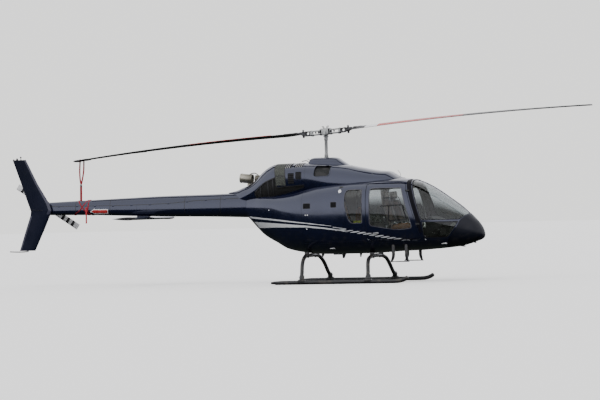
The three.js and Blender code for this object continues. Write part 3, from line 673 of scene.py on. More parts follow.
def place(name, mesh, body, replaces=(), matrix=None, slot=None):
    """A mesh counted from the mast's axis becomes a piece that moves with a body."""
    mesh.transform(matrix if matrix is not None else from_mast())
    obj = mesh_object(name, mesh)
    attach(obj, body)
    if replaces:
        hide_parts(*([replaces] if isinstance(replaces, str) else replaces))
    return obj


fuselage = Loft(FUSELAGE)
boom = Loft(BOOM, sides=64, spacing=0.12)
cowl = Loft(COWL)
mast_fairing = Loft(MAST_FAIRING, sides=96, spacing=0.02)

# Materials


def colour_of(*rgb):
    return (*rgb, 1.0)


def object_texture(tree, kind, scale, stretch):
    """A texture node over the object's own coordinates, in metres."""
    place_node = tree.nodes.new("ShaderNodeTexCoord")
    mapping = tree.nodes.new("ShaderNodeMapping")
    mapping.inputs["Scale"].default_value = stretch
    texture = tree.nodes.new(kind)
    texture.inputs["Scale"].default_value = scale
    tree.links.new(place_node.outputs["Object"], mapping.inputs["Vector"])
    tree.links.new(mapping.outputs["Vector"], texture.inputs["Vector"])
    return texture


def noise(tree, scale, detail=4.0, stretch=(1, 1, 1)):
    """Noise from 0 to 1."""
    texture = object_texture(tree, "ShaderNodeTexNoise", scale, stretch)
    texture.inputs["Detail"].default_value = detail
    return texture.outputs["Fac"]


def cells(tree, scale):
    """Distance to the edges of a field of cells, for grains and meshes."""
    texture = object_texture(tree, "ShaderNodeTexVoronoi", scale, (1, 1, 1))
    texture.feature = "DISTANCE_TO_EDGE"
    return texture.outputs["Distance"]


def along(tree, axis, start, end):
    """0 at start and 1 at end, along an axis of the object's coordinates."""
    place_node = tree.nodes.new("ShaderNodeTexCoord")
    split = tree.nodes.new("ShaderNodeSeparateXYZ")
    tree.links.new(place_node.outputs["Object"], split.inputs["Vector"])
    return levels(tree, split.outputs[axis], start, end)


def math_node(tree, operation, a, b):
    node = tree.nodes.new("ShaderNodeMath")
    node.operation = operation
    for socket, value in zip(node.inputs, (a, b)):
        if isinstance(value, (int, float)):
            socket.default_value = value
        else:
            tree.links.new(value, socket)
    return node.outputs["Value"]


def levels(tree, value, low, high, to_low=0.0, to_high=1.0):
    span = tree.nodes.new("ShaderNodeMapRange")
    for name, number in (("From Min", low), ("From Max", high), ("To Min", to_low), ("To Max", to_high)):
        span.inputs[name].default_value = number
    tree.links.new(value, span.inputs["Value"])
    return span.outputs["Result"]


def blend_colours(tree, factor, a, b):
    node = tree.nodes.new("ShaderNodeMix")
    node.data_type = "RGBA"
    tree.links.new(factor, node.inputs["Factor"])
    for socket, value in ((node.inputs["A"], a), (node.inputs["B"], b)):
        if isinstance(value, tuple):
            socket.default_value = colour_of(*value)
        else:
            tree.links.new(value, socket)
    return node.outputs["Result"]


def add_bump(tree, shader, height, distance, strength=1.0):
    node = tree.nodes.new("ShaderNodeBump")
    node.inputs["Distance"].default_value = distance
    node.inputs["Strength"].default_value = strength
    tree.links.new(height, node.inputs["Height"])
    tree.links.new(node.outputs["Normal"], shader.inputs["Normal"])


def settle(shader, **values):
    """Sets the shader's own sockets, named with _ for a space."""
    for name, value in values.items():
        shader.inputs[name.replace("_", " ")].default_value = value


def darker(rgb, share):
    return tuple(c * share for c in rgb)


def mottle(tree, shader, rgb, other, scale, detail, low=0.35):
    """Patches of a second colour."""
    share = levels(tree, noise(tree, scale, detail), low, 0.7)
    tree.links.new(blend_colours(tree, share, rgb, other), shader.inputs["Base Color"])


def uneven_gloss(tree, shader, scale, detail, low, high):
    tree.links.new(
        levels(tree, noise(tree, scale, detail), 0.3, 0.7, low, high), shader.inputs["Roughness"]
    )


def paint(name, rgb, metallic=0.0, roughness=0.35, coat=1.0, dust=0.25, gleam=None, ior=1.5):
    """Lacquered paint: faint flakes, a little waviness, and dust that gathers low down."""
    material, tree, shader = new_material(name)
    settle(shader, Metallic=metallic, IOR=ior, Coat_Weight=coat, Coat_Roughness=0.04)
    if gleam:
        settle(shader, Specular_Tint=colour_of(*gleam))
    flakes = blend_colours(tree, levels(tree, noise(tree, 420, 2), 0.45, 0.7), rgb, darker(rgb, 1.5))
    patches = blend_colours(tree, levels(tree, noise(tree, 1.4, 5), 0.35, 0.7), flakes, darker(rgb, 0.8))
    low_down = along(tree, "Z", 1.2, 0.5)
    speckle = levels(tree, noise(tree, 9, 8), 0.5, 0.75)
    film = math_node(tree, "MULTIPLY", math_node(tree, "MULTIPLY", low_down, speckle), dust)
    shader_colour = blend_colours(tree, film, patches, (0.16, 0.14, 0.11))
    tree.links.new(shader_colour, shader.inputs["Base Color"])
    rough = levels(tree, noise(tree, 6, 6), 0.3, 0.7, roughness * 0.8, roughness * 1.3)
    tree.links.new(math_node(tree, "ADD", rough, film), shader.inputs["Roughness"])
    add_bump(tree, shader, noise(tree, 22, 3), 0.0006, 0.35)
    return material


def plastic(name, rgb, roughness=0.55, grain=520, depth=0.0004, patch=0.75):
    """Moulded plastic or powder coat with a fine grain."""
    material, tree, shader = new_material(name)
    mottle(tree, shader, rgb, darker(rgb, patch), 5, 6)
    uneven_gloss(tree, shader, 24, 4, roughness * 0.85, roughness * 1.15)
    add_bump(tree, shader, noise(tree, grain, 3), depth, 0.6)
    return material


def metal(name, rgb, roughness=0.35, stretch=(1, 1, 12)):
    """Turned or brushed metal, with stains."""
    material, tree, shader = new_material(name)
    settle(shader, Metallic=0.9)
    mottle(tree, shader, rgb, darker(rgb, 0.65), 14, 6, 0.4)
    brushed = noise(tree, 90, 3, stretch)
    tree.links.new(
        levels(tree, brushed, 0.3, 0.7, roughness * 0.7, roughness * 1.4), shader.inputs["Roughness"]
    )
    add_bump(tree, shader, brushed, 0.0003, 0.4)
    return material


def leather(name, rgb):
    """Hide with its grain, and random patches of a darker tone."""
    material, tree, shader = new_material(name)
    mottle(tree, shader, rgb, darker(rgb, 0.7), 11, 7)
    uneven_gloss(tree, shader, 30, 4, 0.42, 0.62)
    grain = levels(tree, cells(tree, 330), 0.0, 0.12)
    add_bump(tree, shader, grain, 0.0006, 0.5)
    return material


def rubber(name, rgb=(0.012, 0.012, 0.013)):
    return plastic(name, rgb, roughness=0.75, grain=260, depth=0.0003, patch=1.8)


def glazing(name, rgb, roughness=0.0):
    """Clear acrylic with faint smears."""
    material, tree, shader = new_material(name)
    settle(shader, Transmission_Weight=1.0, IOR=1.45, Roughness=roughness)
    smears = levels(tree, noise(tree, 3.5, 7, (1, 1, 0.35)), 0.55, 0.8)
    tree.links.new(blend_colours(tree, smears, rgb, darker(rgb, 0.93)), shader.inputs["Base Color"])
    return material


def exhaust_metal(name):
    """Steel: dark brown at its root and pale straw towards the outlet."""
    material, tree, shader = new_material(name)
    settle(shader, Metallic=0.85)
    reach = along(tree, "X", MAST_X - 1.60, MAST_X - 1.90)
    uneven = math_node(tree, "ADD", reach, math_node(tree, "MULTIPLY", noise(tree, 12, 5), 0.35))
    tint = tree.nodes.new("ShaderNodeValToRGB")
    elements = tint.color_ramp.elements
    elements[0].position, elements[0].color = 0.10, colour_of(0.11, 0.10, 0.08)
    elements[1].position, elements[1].color = 1.15, colour_of(0.56, 0.53, 0.44)
    middle = elements.new(0.60)
    middle.color = colour_of(0.36, 0.34, 0.28)
    tree.links.new(uneven, tint.inputs["Fac"])
    tree.links.new(tint.outputs["Color"], shader.inputs["Base Color"])
    uneven_gloss(tree, shader, 40, 4, 0.32, 0.5)
    add_bump(tree, shader, noise(tree, 60, 4, (1, 6, 6)), 0.0004, 0.4)
    return material


def screen_metal(name, rgb, mesh_scale=130):
    """Woven wire screen: a raised net over painted shade, a far darker tone between the wires for the dark
    space behind.
    """
    material, tree, shader = new_material(name)
    settle(shader, Metallic=0.5, Roughness=0.6)
    net = levels(tree, cells(tree, mesh_scale), 0.02, 0.12)
    tree.links.new(blend_colours(tree, net, rgb, darker(rgb, 0.12)), shader.inputs["Base Color"])
    add_bump(tree, shader, levels(tree, net, 0.0, 1.0, 1.0, 0.0), 0.002, 0.8)
    return material


NAVY = paint(
    "navy_paint", (0.004, 0.0055, 0.020), roughness=0.12, coat=0.6, gleam=(0.74, 0.80, 1.0), ior=1.78
)
FIN_NAVY = paint("fin_navy_paint", (0.003, 0.005, 0.017), roughness=0.55, coat=0.0, dust=0, ior=1.30)
NOSE_NAVY = paint("nose_navy_paint", (0.004, 0.005, 0.011), roughness=0.42, coat=0.10, ior=1.36)
SILVER = paint("silver_stripe_paint", (0.72, 0.73, 0.74), metallic=0.1, roughness=0.40, dust=0.1)
BLACK = paint("black_enamel", (0.010, 0.010, 0.011), roughness=0.42, coat=0.4, dust=0.5)
TRIM = plastic("cabin_trim", (0.10, 0.098, 0.092), roughness=0.7, grain=300)
HEADLINER = plastic("cabin_lining", (0.34, 0.32, 0.29), roughness=0.85, grain=650, patch=0.85)
CARPET = plastic("cabin_carpet", (0.055, 0.055, 0.06), roughness=0.95, grain=380, depth=0.002)
PANEL = plastic("instrument_panel_paint", (0.030, 0.031, 0.034), roughness=0.6)
SEAL = rubber("window_seal", (0.060, 0.060, 0.068))
DARK_SEAL = rubber("door_seal", (0.006, 0.006, 0.007))
POST_BLACK = paint("post_black_paint", (0.004, 0.004, 0.007), roughness=0.5, coat=0.0, dust=0, ior=1.22)
GLAZING = glazing("window_acrylic", (0.52, 0.55, 0.54))
# The chin panes are darkened: painted shade for the dim cabin seen through them.
CHIN_SHADE_GLAZING = glazing("shade_darkened_acrylic", (0.20, 0.215, 0.20))
LEATHER = leather("tan_seat_leather", (0.36, 0.17, 0.065))
BEIGE = leather("beige_seat_leather", (0.19, 0.145, 0.115))
STEEL = metal("bare_steel", (0.56, 0.56, 0.55), 0.38)
ALLOY = metal("machined_alloy", (0.66, 0.66, 0.65), 0.45, (12, 1, 1))
DARK_METAL = metal("dark_metal", (0.10, 0.10, 0.105), 0.5)
ENGINE_METAL = metal("engine_casting", (0.30, 0.30, 0.29), 0.55, (3, 3, 3))
EXHAUST = exhaust_metal("exhaust_steel")
# The engine bay screens are dark all over: painted shade for the engine bay behind them.
ENGINE_BAY_SHADE_SCREEN = screen_metal("engine_screen_bay_shade", (0.045, 0.045, 0.043))
GREY_BLADE = paint("blade_grey_paint", (0.085, 0.085, 0.083), roughness=0.55, coat=0.15, dust=0)
WHITE_PAINT = paint("white_paint", (0.84, 0.84, 0.83), roughness=0.45, coat=0.3, dust=0)
RED_PAINT = paint("red_band_paint", (0.46, 0.045, 0.030), roughness=0.45, coat=0.3, dust=0)
BLACK_PAINT = paint("black_band_paint", (0.012, 0.012, 0.012), roughness=0.5, coat=0.2, dust=0)
HEAD_GREY = paint("rotor_head_grey", (0.42, 0.43, 0.42), roughness=0.4, coat=0.2, dust=0)
LINK_GREY = paint("control_link_grey", (0.16, 0.165, 0.16), roughness=0.45, coat=0.1, dust=0)
MAST_GREY = paint("mast_grey", (0.30, 0.305, 0.30), roughness=0.4, coat=0.2, dust=0)
# Painted highlight: a lighter navy for bands along the fin's edges, where they catch the sky.
FIN_EDGE_HIGHLIGHT_PAINT = paint("fin_edge_painted_highlight", (0.040, 0.041, 0.066), roughness=0.4, coat=0.2, dust=0)
YELLOW = plastic("yellow_webbing", (0.55, 0.62, 0.03), roughness=0.8, grain=900, depth=0.001)
WEBBING = plastic("harness_webbing", (0.05, 0.05, 0.055), roughness=0.9, grain=900, depth=0.001)
BLACK_WEBBING = plastic("black_cover_cloth", (0.018, 0.018, 0.020), roughness=0.9, grain=700, depth=0.001)
RED_WEBBING = plastic("red_strap_webbing", (0.30, 0.006, 0.016), roughness=0.8, grain=900, depth=0.001)
# A lighter red, used for the tie-down strap's hanging end.
BRIGHT_WEBBING = plastic("lighter_red_strap_webbing", (0.48, 0.030, 0.040), roughness=0.8, grain=900, depth=0.001)
SIGN_RED = paint("sign_red_paint", (0.48, 0.03, 0.03), roughness=0.45, coat=0.3, dust=0)
BEIGE_PLASTIC = plastic("seat_shell_plastic", (0.15, 0.125, 0.105), roughness=0.6)
OLIVE_SCREEN = screen_metal("olive_screen", (0.20, 0.215, 0.185), 150)
GREY_SCREEN = screen_metal("intake_mesh", (0.075, 0.080, 0.080), 120)
# Painted shade: a flat near-black finish laid in vents, louvres and openings for the darkness behind them.
OPENING_SHADE = plastic("painted_opening_shade", (0.003, 0.003, 0.004), roughness=0.9, grain=200, depth=0.0005)
SCREEN_GLASS = plastic("display_glass", (0.006, 0.008, 0.011), roughness=0.12, grain=60, depth=0.0001)
LENS = glazing("light_lens", (0.9, 0.9, 0.88), 0.04)


# Cabin shells, glazing and doors


def trims(mesh, surface, outer, inner, outside, inside):
    """Smooth shading and two finishes for a shell cut from a surface."""
    where = shade(mesh, [(surface, outer), (surface, inner)])
    with_material(mesh, outside, inside)
    mesh.polygons.foreach_set("material_index", (where == 1).astype(np.int32))
    return mesh


def shell(
    name, mesh, body, replaces, surface=fuselage, wall=WALL, outside=NAVY, inside=TRIM, slot="navy_paint"
):
    return place(name, trims(mesh, surface, 0.0, wall, outside, inside), body, replaces, slot=slot)


skins = {}


def thin_skin(surface, proud, depth):
    """A skin that stands proud of a surface and reaches a depth into it."""
    key = (id(surface), proud, depth)
    if key not in skins:
        skins[key] = minus(surface.mesh(inset=-proud), surface.mesh(inset=depth))
    return skins[key]


def strip(name, cutter, body, material, surface=None, proud=0.0008, depth=0.004, slot="navy_paint"):
    """Thin trim or a painted line that lies on a surface, cut to an outline."""
    surface = surface or fuselage
    mesh = within(thin_skin(surface, proud, depth), cutter)
    shade(mesh, [(surface, -proud)])
    return place(name, with_material(mesh, material), body, slot=slot)


def ring_prism(outline, side, grow, shrink, near=0.15):
    """The band of an outline, from grow outside it to shrink inside it."""
    whole = side_prism(rounded(draw_in(outline, -grow)), side, near)
    hole = side_prism(rounded(draw_in(outline, shrink)), side, near - 0.01, 1.31)
    return minus(whole, hole)


def opening(outline, side, near=0.15):
    return side_prism(rounded(outline), side, near)


def pane_mesh(outline, side, near=0.15):
    glass_skin = minus(fuselage.mesh(inset=GLASS_INSET), fuselage.mesh(inset=GLASS_INSET + GLASS))
    return within(glass_skin, side_prism(rounded(draw_in(outline, SEAM)), side, near))


def pane(name, mesh, body, node, material):
    shade(mesh, [(fuselage, GLASS_INSET), (fuselage, GLASS_INSET + GLASS)])
    return place(name, with_material(mesh, material), body, node, slot="clear_glazing")


def window_seal(name, outline, side, body, near=0.15, cut=None, material=SEAL):
    """The dark rubber that grips a pane's edge."""
    band = ring_prism(outline, side, 0.003, 0.010, near)
    if cut is not None:
        band = within(band, cut)
    return strip(name, band, body, material, proud=0.001, depth=0.0105, slot="black_paint")


behind_nose = prism(
    [(x - 2 * SEAM, z) for x, z in NOSE_EDGE] + [(-3.0, 0.6), (-3.0, 2.4), (3.3, 2.4)], -1.3, 1.3
)
nose_region = prism(NOSE_EDGE + [(3.6, 0.6), (3.6, 1.54)], -1.3, 1.3)


def turned_baggage_prism(distance):
    mesh = side_prism(rounded(draw_in(BAGGAGE_DOOR, distance)), LEFT, 0.25)
    pivot = Matrix.Translation((-0.655, 0.620, 0))
    mesh.transform(pivot @ Matrix.Rotation(BAGGAGE_TURN, 4, "Z") @ pivot.inverted())
    return mesh


def cabin_shells():
    outer = fuselage.mesh()
    cabin_hollow = fuselage.mesh(3.18, BULKHEAD_X + WALL, WALL)
    wall = within(minus(outer, cabin_hollow), behind_nose)
    low = wide_box(BULKHEAD_X, 4, 0, DECK_Z - WALL - SEAM)
    hook_pad = box((0.13, -0.08, 0.58), (0.29, 0.08, 0.62))
    shell("belly_tub_shell", plus(within(wall, low), hook_pad), "airframe", "belly_tub")

    doors = [
        opening(FRONT_DOOR, RIGHT, 0.25), opening(FRONT_DOOR, LEFT, 0.25), opening(REAR_DOOR, LEFT, 0.25)
    ]
    upper = minus(within(wall, wide_box(BULKHEAD_X, 4, DECK_Z - WALL, 4)), *doors)
    rear = minus(within(upper, wide_box(BULKHEAD_X, DOOR_POST_X - SEAM, 0, 4)), opening(REAR_WINDOW, RIGHT))
    shell("cabin_rear_painted_shell", rear, "airframe", "cabin_rear_shell", inside=HEADLINER)
    front = within(upper, wide_box(DOOR_POST_X, 4, 0, 4))
    rear_x, front_x, near, far, depth = SILL_RELIEF
    for side in (RIGHT, LEFT):
        across = sorted((side * near, side * far))
        relief = box((rear_x, across[0], DECK_Z - depth), (front_x, across[1], DECK_Z + SILL_GAP))
        front = minus(front, opening(WINDSHIELD, side, 0.02), opening(CHIN_WINDOW, side, 0.09), relief)
    shell("cabin_front_painted_frame", front, "airframe", "cabin_front_frame")

    nose = minus(within(outer, nose_region), fuselage.mesh(3.25, 2.3, WALL))
    shell("nose_cone_shell", nose, "airframe", "nose_cone", outside=NOSE_NAVY)

    aft = within(outer, wide_box(BOOM_X, BULKHEAD_X - SEAM, 0, 4))
    aft = minus(aft, fuselage.mesh(0, BOOM_X - 0.05, WALL), turned_baggage_prism(0))
    shell("aft_fuselage_shell", aft, "airframe", "aft_fuselage")


POST_TRIM = [
    (2.190, 1.010, 0.010),
    (2.170, 1.262, 0.010),
    (1.905, 2.140, 0.010),
    (1.848, 2.090, 0.010),
    (1.862, 2.010, 0.010),
    (2.150, 1.000, 0.010),
]


def post_trim():
    """Matt black trim on the posts between the front doors and the windshield."""
    for side, word in SIDES:
        band = minus(opening(POST_TRIM, side), opening(FRONT_DOOR, side), opening(WINDSHIELD, side, 0.02))
        strip(f"post_trim_{word}", band, "airframe", POST_BLACK, proud=0.0012, slot="black_paint")


def gap_seals():
    """The door seals on the airframe's side of each gap."""
    for outline, side, name in (
        (FRONT_DOOR, RIGHT, "right_door"), (FRONT_DOOR, LEFT, "left_front_door"),
        (REAR_DOOR, LEFT, "left_rear_door"),
    ):
        band = ring_prism(outline, side, -0.0002, 0.0045, 0.25)
        band = within(band, wide_box(-2, 4, DECK_Z + 0.05, 4))
        strip(
            f"{name}_gap_seal", band, "airframe", DARK_SEAL, proud=-0.006, depth=0.030, slot="black_paint"
        )


def glazed_openings():
    for side, word in SIDES:
        wind = within(pane_mesh(WINDSHIELD, side, 0.02 + SEAM), behind_nose)
        pane(f"windshield_pane_{word}", wind, "airframe", f"windshield_{word}", GLAZING)
        # Chin panes darkened as painted shade for the cabin behind them.
        chin = pane_mesh(CHIN_WINDOW, side, 0.09 + SEAM)
        pane(f"chin_pane_{word}", chin, "airframe", f"chin_window_{word}", CHIN_SHADE_GLAZING)
        window_seal(f"windshield_seal_{word}", WINDSHIELD, side, "airframe", 0.02, behind_nose, DARK_SEAL)
        window_seal(f"chin_seal_{word}", CHIN_WINDOW, side, "airframe", 0.09, material=DARK_SEAL)
    pane("rear_pane_right", pane_mesh(REAR_WINDOW, RIGHT), "airframe", "rear_window_right", GLAZING)
    window_seal("rear_window_seal_right", REAR_WINDOW, RIGHT, "airframe")


VENT_WINDOW = [(1.515, 1.255, 0.02), (1.910, 1.276, 0.02), (1.818, 1.596, 0.02), (1.520, 1.580, 0.02)]


def hull_wall():
    return minus(fuselage.mesh(), fuselage.mesh(3.18, BOOM_X + WALL, WALL))


def door(body, outline, window, side):
    wall = hull_wall()
    leaf = within(wall, side_prism(rounded(draw_in(outline, DOOR_GAP)), side, 0.25))
    leaf = within(leaf, wide_box(-2, 4, DECK_Z + SILL_GAP, 4))
    leaf = minus(leaf, opening(window, side))
    shell(f"{body}_leaf", leaf, body, body)
    pane(f"{body}_pane", pane_mesh(window, side), body, f"{body}_window", GLAZING)
    window_seal(f"{body}_window_seal", window, side, body)
    if window is FRONT_DOOR_WINDOW:
        frame_bars = ring_prism(VENT_WINDOW, side, 0.0, 0.022)
        track = polygon([(1.354, 1.555), (1.540, 1.562), (1.540, 1.584), (1.354, 1.577)], side)
        strip(
            f"{body}_vent_frame", plus(frame_bars, track), body, DARK_SEAL, proud=-0.005, depth=0.012,
            slot="black_paint"
        )


def doors():
    door("right_door", FRONT_DOOR, FRONT_DOOR_WINDOW, RIGHT)
    door("left_front_door", FRONT_DOOR, FRONT_DOOR_WINDOW, LEFT)
    door("left_rear_door", REAR_DOOR, REAR_WINDOW, LEFT)
    wall = hull_wall()
    shell("baggage_door_leaf", within(wall, turned_baggage_prism(DOOR_GAP)), "baggage_door", "baggage_door")


# Cowlings and tail


def cylinder(radius, start, end, sides=48):
    """A round cutter or bar between two points."""
    start, end = Vector(start), Vector(end)
    run = end - start
    bm = bmesh.new()
    bmesh.ops.create_cone(
        bm, cap_ends=True, segments=sides, radius1=radius, radius2=radius, depth=run.length
    )
    turn = run.to_track_quat("Z", "Y").to_matrix().to_4x4()
    bmesh.ops.transform(bm, matrix=Matrix.Translation((start + end) / 2) @ turn, verts=bm.verts)
    return finished(bm)


def cowl_shade(mesh, outside=NAVY, inside=DARK_METAL):
    surfaces = [(mast_fairing, 0.0), (cowl, 0.0), (cowl, COWL_WALL), (mast_fairing, COWL_WALL)]
    where = shade(mesh, surfaces)
    with_material(mesh, outside, inside)
    mesh.polygons.foreach_set("material_index", (where > 1).astype(np.int32))
    return mesh


def cowlings():
    hollow = cowl.mesh(1.6, -1.95, COWL_WALL)
    body = fuselage.mesh(inset=-SEAM)
    front = minus(plus(cowl.mesh(), mast_fairing.mesh()), hollow)
    front = minus(front, mast_fairing.mesh(0.4, -0.29, COWL_WALL))
    front = within(front, wide_box(COWL_SPLIT_X + SEAM, 4, 0, 4))
    front = minus(front, body, cylinder(0.14, (0, 0, 2.3), (0, 0, 2.7)))
    front = minus(front, opening(AIR_INTAKE, RIGHT, 0.28), opening(AIR_INTAKE, LEFT, 0.28))
    place("forward_cowl_shell", cowl_shade(front), "airframe", "forward_cowl", slot="navy_paint")

    rear = within(minus(cowl.mesh(), hollow), wide_box(-4, COWL_SPLIT_X, 0, 4))
    rear = minus(rear, body, boom.mesh(inset=-SEAM), cylinder(0.118, (-1.25, 0, 2.205), (-1.70, 0, 2.215)))
    rear = minus(rear, opening(ENGINE_SCREEN, RIGHT), opening(ENGINE_SCREEN, LEFT))
    place("engine_cowl_shell", cowl_shade(rear), "airframe", "engine_cowl", slot="navy_paint")


def above_cover_edge(gap):
    edge = [[x, z + gap] for x, z in SHAFT_COVER_EDGE]
    edge[-1][0] += gap
    return prism([tuple(p) for p in edge] + [(edge[-1][0], 2.3), (0, 2.3), (0, edge[0][1])], -1.3, 1.3)


def tail_boom():
    tube = within(boom.mesh(), wide_box(-9, BOOM_X - SEAM, 0, 4))
    tube = minus(tube, boom.mesh(BOOM_X + 0.01, -6.3, BOOM_WALL))
    shell("tail_boom_shell", minus(tube, above_cover_edge(0)), "airframe", "tail_boom", boom, BOOM_WALL)
    cover = within(tube, above_cover_edge(SEAM))
    shell("driveshaft_cover_shell", cover, "airframe", "driveshaft_cover", boom, BOOM_WALL)


def airfoil(points):
    """Pairs of chord share and half thickness share, round the section."""
    shares = [(1 - math.cos(math.pi * i / points)) / 2 for i in range(points + 1)]

    def half(s):
        return 5.2 * (0.2969 * math.sqrt(s) - 0.126 * s - 0.3516 * s**2 + 0.2843 * s**3 - 0.1036 * s**4)

    top = [(s, max(half(s), 0.04)) for s in shares]
    return top + [(s, -t) for s, t in reversed(top[1:])]


def wing(rows, place_point, points=18, steps=24):
    """A smooth surface through sections: at, leading edge, trailing edge, thickness."""
    rows = np.array(rows, float)
    order = np.argsort(rows[:, 0])
    rows = rows[order]
    at = np.unique(np.concatenate([np.linspace(rows[0, 0], rows[-1, 0], steps), rows[:, 0]]))
    columns = [np.interp(at, rows[:, 0], rows[:, i]) for i in (1, 2, 3)]
    section = airfoil(points)
    rings = [
        [place_point(lead + (trail - lead) * share, half * thick, a) for share, half in section]
        for a, lead, trail, thick in zip(at, *columns)
    ]
    return smooth(skin(rings), 40)


# Sections of the fin: height, leading edge, trailing edge, thickness.
FIN = [
    (2.738, -6.703, -7.008, 0.046),
    (2.217, -6.443, -6.818, 0.062),
    (1.800, -6.190, -6.672, 0.082),
    (1.640, -6.132, -6.612, 0.090),
    (1.550, -6.165, -6.622, 0.088),
    (1.229, -6.312, -6.738, 0.072),
    (0.790, -6.530, -6.892, 0.050),
]


def tail_surfaces():
    fin = wing(FIN, lambda x, offset, z: (x, FIN_Y + offset, z), steps=48)
    place("fin_skin", with_material(fin, FIN_NAVY), "airframe", "vertical_fin", slot="navy_paint")
    lead, trail, half_span, z = -3.830, -4.350, 1.150, 1.428
    plane = wing(
        [(-half_span, lead, trail, 0.058), (half_span, lead, trail, 0.058)],
        lambda x, offset, y: (x, y, z + offset),
        steps=40,
    )
    middle = (lead + trail) / 2
    saddle = block((middle - 0.130, -0.070, z), (middle + 0.130, 0.070, z + 0.120), 0.006)
    plane = plus(plane, minus(saddle, boom.mesh(inset=-SEAM)))
    place(
        "stabilizer_skin", with_material(smooth(plane, 35), NAVY), "airframe", "horizontal_stabilizer",
        slot="navy_paint"
    )
    caps = []
    for y in (-half_span, half_span):
        outline = wing(
            [
                (y - 0.004, lead + 0.004, trail - 0.004, 0.066),
                (y + 0.004, lead + 0.004, trail - 0.004, 0.066)
            ],
            lambda x, offset, y_at: (x, y_at, z + offset),
            steps=24,
        )
        caps.append(outline)
    piece("stabilizer_end_plates", caps, "airframe", BLACK, slot="black_paint")


def edge_strip(low, high, from_lead, to_lead, proud):
    """A band along the fin between two shares of its chord, slightly proud of its skin: a painted highlight.
    """
    shell_outer = wing(FIN, lambda x, offset, z: (x, FIN_Y + offset * (1 + proud), z), steps=48)
    heights, leads, trails, _ = zip(*FIN[::-1])
    outline_lead, outline_trail = [], []
    for z in np.linspace(low, high, 14):
        lead = float(np.interp(z, heights, leads))
        trail = float(np.interp(z, heights, trails))
        outline_lead.append((lead + (trail - lead) * from_lead, z))
        outline_trail.append((lead + (trail - lead) * to_lead, z))
    return within(shell_outer, prism(outline_lead + outline_trail[::-1], FIN_Y - 0.2, FIN_Y + 0.2))


def fin_details():
    # Lighter bands on the upper fin's leading edge, the lower fin's trailing edge and between them: painted
    # highlights.
    strips = [
        edge_strip(1.640, 2.725, -0.01, 0.115, 0.02), edge_strip(0.800, 1.540, 0.900, 1.01, 0.10),
        edge_strip(1.560, 1.640, -0.01, 0.150, 0.02),
    ]
    piece("fin_edge_painted_highlights", [smooth(joined(strips), 40)], "airframe", FIN_EDGE_HIGHLIGHT_PAINT, slot="navy_paint")
    fitting = minus(
        block((-6.420, FIN_Y + 0.015, 1.590), (-6.220, -0.075, 1.690), 0.004), boom.mesh(inset=-SEAM)
    )
    piece("fin_fitting", [fitting], "airframe", NAVY, slot="navy_paint")


# Bars, blocks and turned shapes


def curve_through(points, per_span=8, closed=False):
    """Points along a Catmull-Rom curve."""
    points = [Vector(p) for p in points]
    count = len(points)
    spans = count if closed else count - 1
    made = []
    for i in range(spans):
        b, c = points[i], points[(i + 1) % count]
        a = points[i - 1] if closed or i else b + (b - c)
        d = points[(i + 2) % count] if closed or i + 2 < count else c + (c - b)
        for k in range(per_span):
            t = k / per_span
            made.append(
                0.5 * (
                    2 * b + (c - a) * t + (2 * a - 5 * b + 4 * c - d) * t**2 + (3 * b - a - 3 * c + d) * t**3
                )
            )
    if not closed:
        made.append(points[-1])
    return made


def rod(points, radius, sides=14, curved=True, wide=1.0, across=(0, 0, 1), per_span=8):
    """A bar along points; wide stretches its section square to across."""
    path = curve_through(points, per_span) if curved else [Vector(p) for p in points]
    rings = []
    for i, p in enumerate(path):
        run = (path[min(i + 1, len(path) - 1)] - path[max(i - 1, 0)]).normalized()
        side = run.cross(Vector(across)).normalized()
        up = side.cross(run)
        r = radius[i] if isinstance(radius, (list, tuple)) else radius
        ring = []
        for angle in around(sides):
            ring.append(p + side * (math.cos(angle) * r * wide) + up * (math.sin(angle) * r))
        rings.append(ring)
    return smooth(skin(rings), 50)


def block(low, high, bevel=0.004, segments=2):
    """A block with softened edges."""
    width = min(bevel, min(h - l for h, l in zip(high, low)) * 0.45)
    return smooth(outward(bevelled(box(low, high), width, segments)), 50)


def turned(profile, at, direction=(0, 0, 1), sides=40, angle=40):
    """A shape turned about a line: its profile lists radius and distance along the line."""
    rings = [
        [
            (r * math.cos(2 * math.pi * k / sides), r * math.sin(2 * math.pi * k / sides), h)
            for k in range(sides)
        ]
        for r, h in profile
    ]
    mesh = skin(rings)
    turn = Vector(direction).to_track_quat("Z", "Y").to_matrix().to_4x4()
    mesh.transform(Matrix.Translation(at) @ turn)
    return smooth(mesh, angle)


def bolt(at, direction, size=0.012):
    """A hexagon head on its washer."""
    washer = turned([(size, 0), (size, size * 0.2), (size * 0.2, size * 0.2)], at, direction, 20)
    lifted = Vector(at) + Vector(direction).normalized() * size * 0.2
    head = turned(
        [(size * 0.85, 0), (size * 0.85, size * 0.5), (size * 0.7, size * 0.62)], lifted, direction, 6, 20
    )
    return joined([washer, head])


def piece(name, meshes, body, material, replaces=(), slot=None, matrix=None):
    mesh = joined(meshes) if isinstance(meshes, list) else meshes
    return place(name, with_material(mesh, material), body, replaces, matrix, slot)


def extruded(points, low, high, bevel=0.003):
    """A side-view outline driven across the body, its edges softened."""
    return smooth(bevelled(prism(points, low, high), bevel), 35)


# Main rotor

# Sections of a main blade: radius, chord, thickness, pitch in degrees.
MAIN_BLADE = [
    (0.5905, 0.170, 0.050, 9.0),
    (0.700, 0.230, 0.046, 9.0),
    (0.900, 0.330, 0.042, 8.5),
    (2.000, 0.330, 0.040, 6.5),
    (3.200, 0.330, 0.036, 4.5),
    (4.400, 0.330, 0.032, 2.5),
    (ROTOR_RADIUS, 0.330, 0.028, 0.5),
]
DARK_ROOT_END = 0.90
WHITE_ROOT_END = 1.17
RED_BAND_END = 3.00
TIP_CAP_START = 5.45
YOKE_END = 0.330
YOKE_HALF_WIDTH = 0.062
PLATE_INNER = 0.024
PLATE_OUTER = 0.050
GRIP_END = 0.590


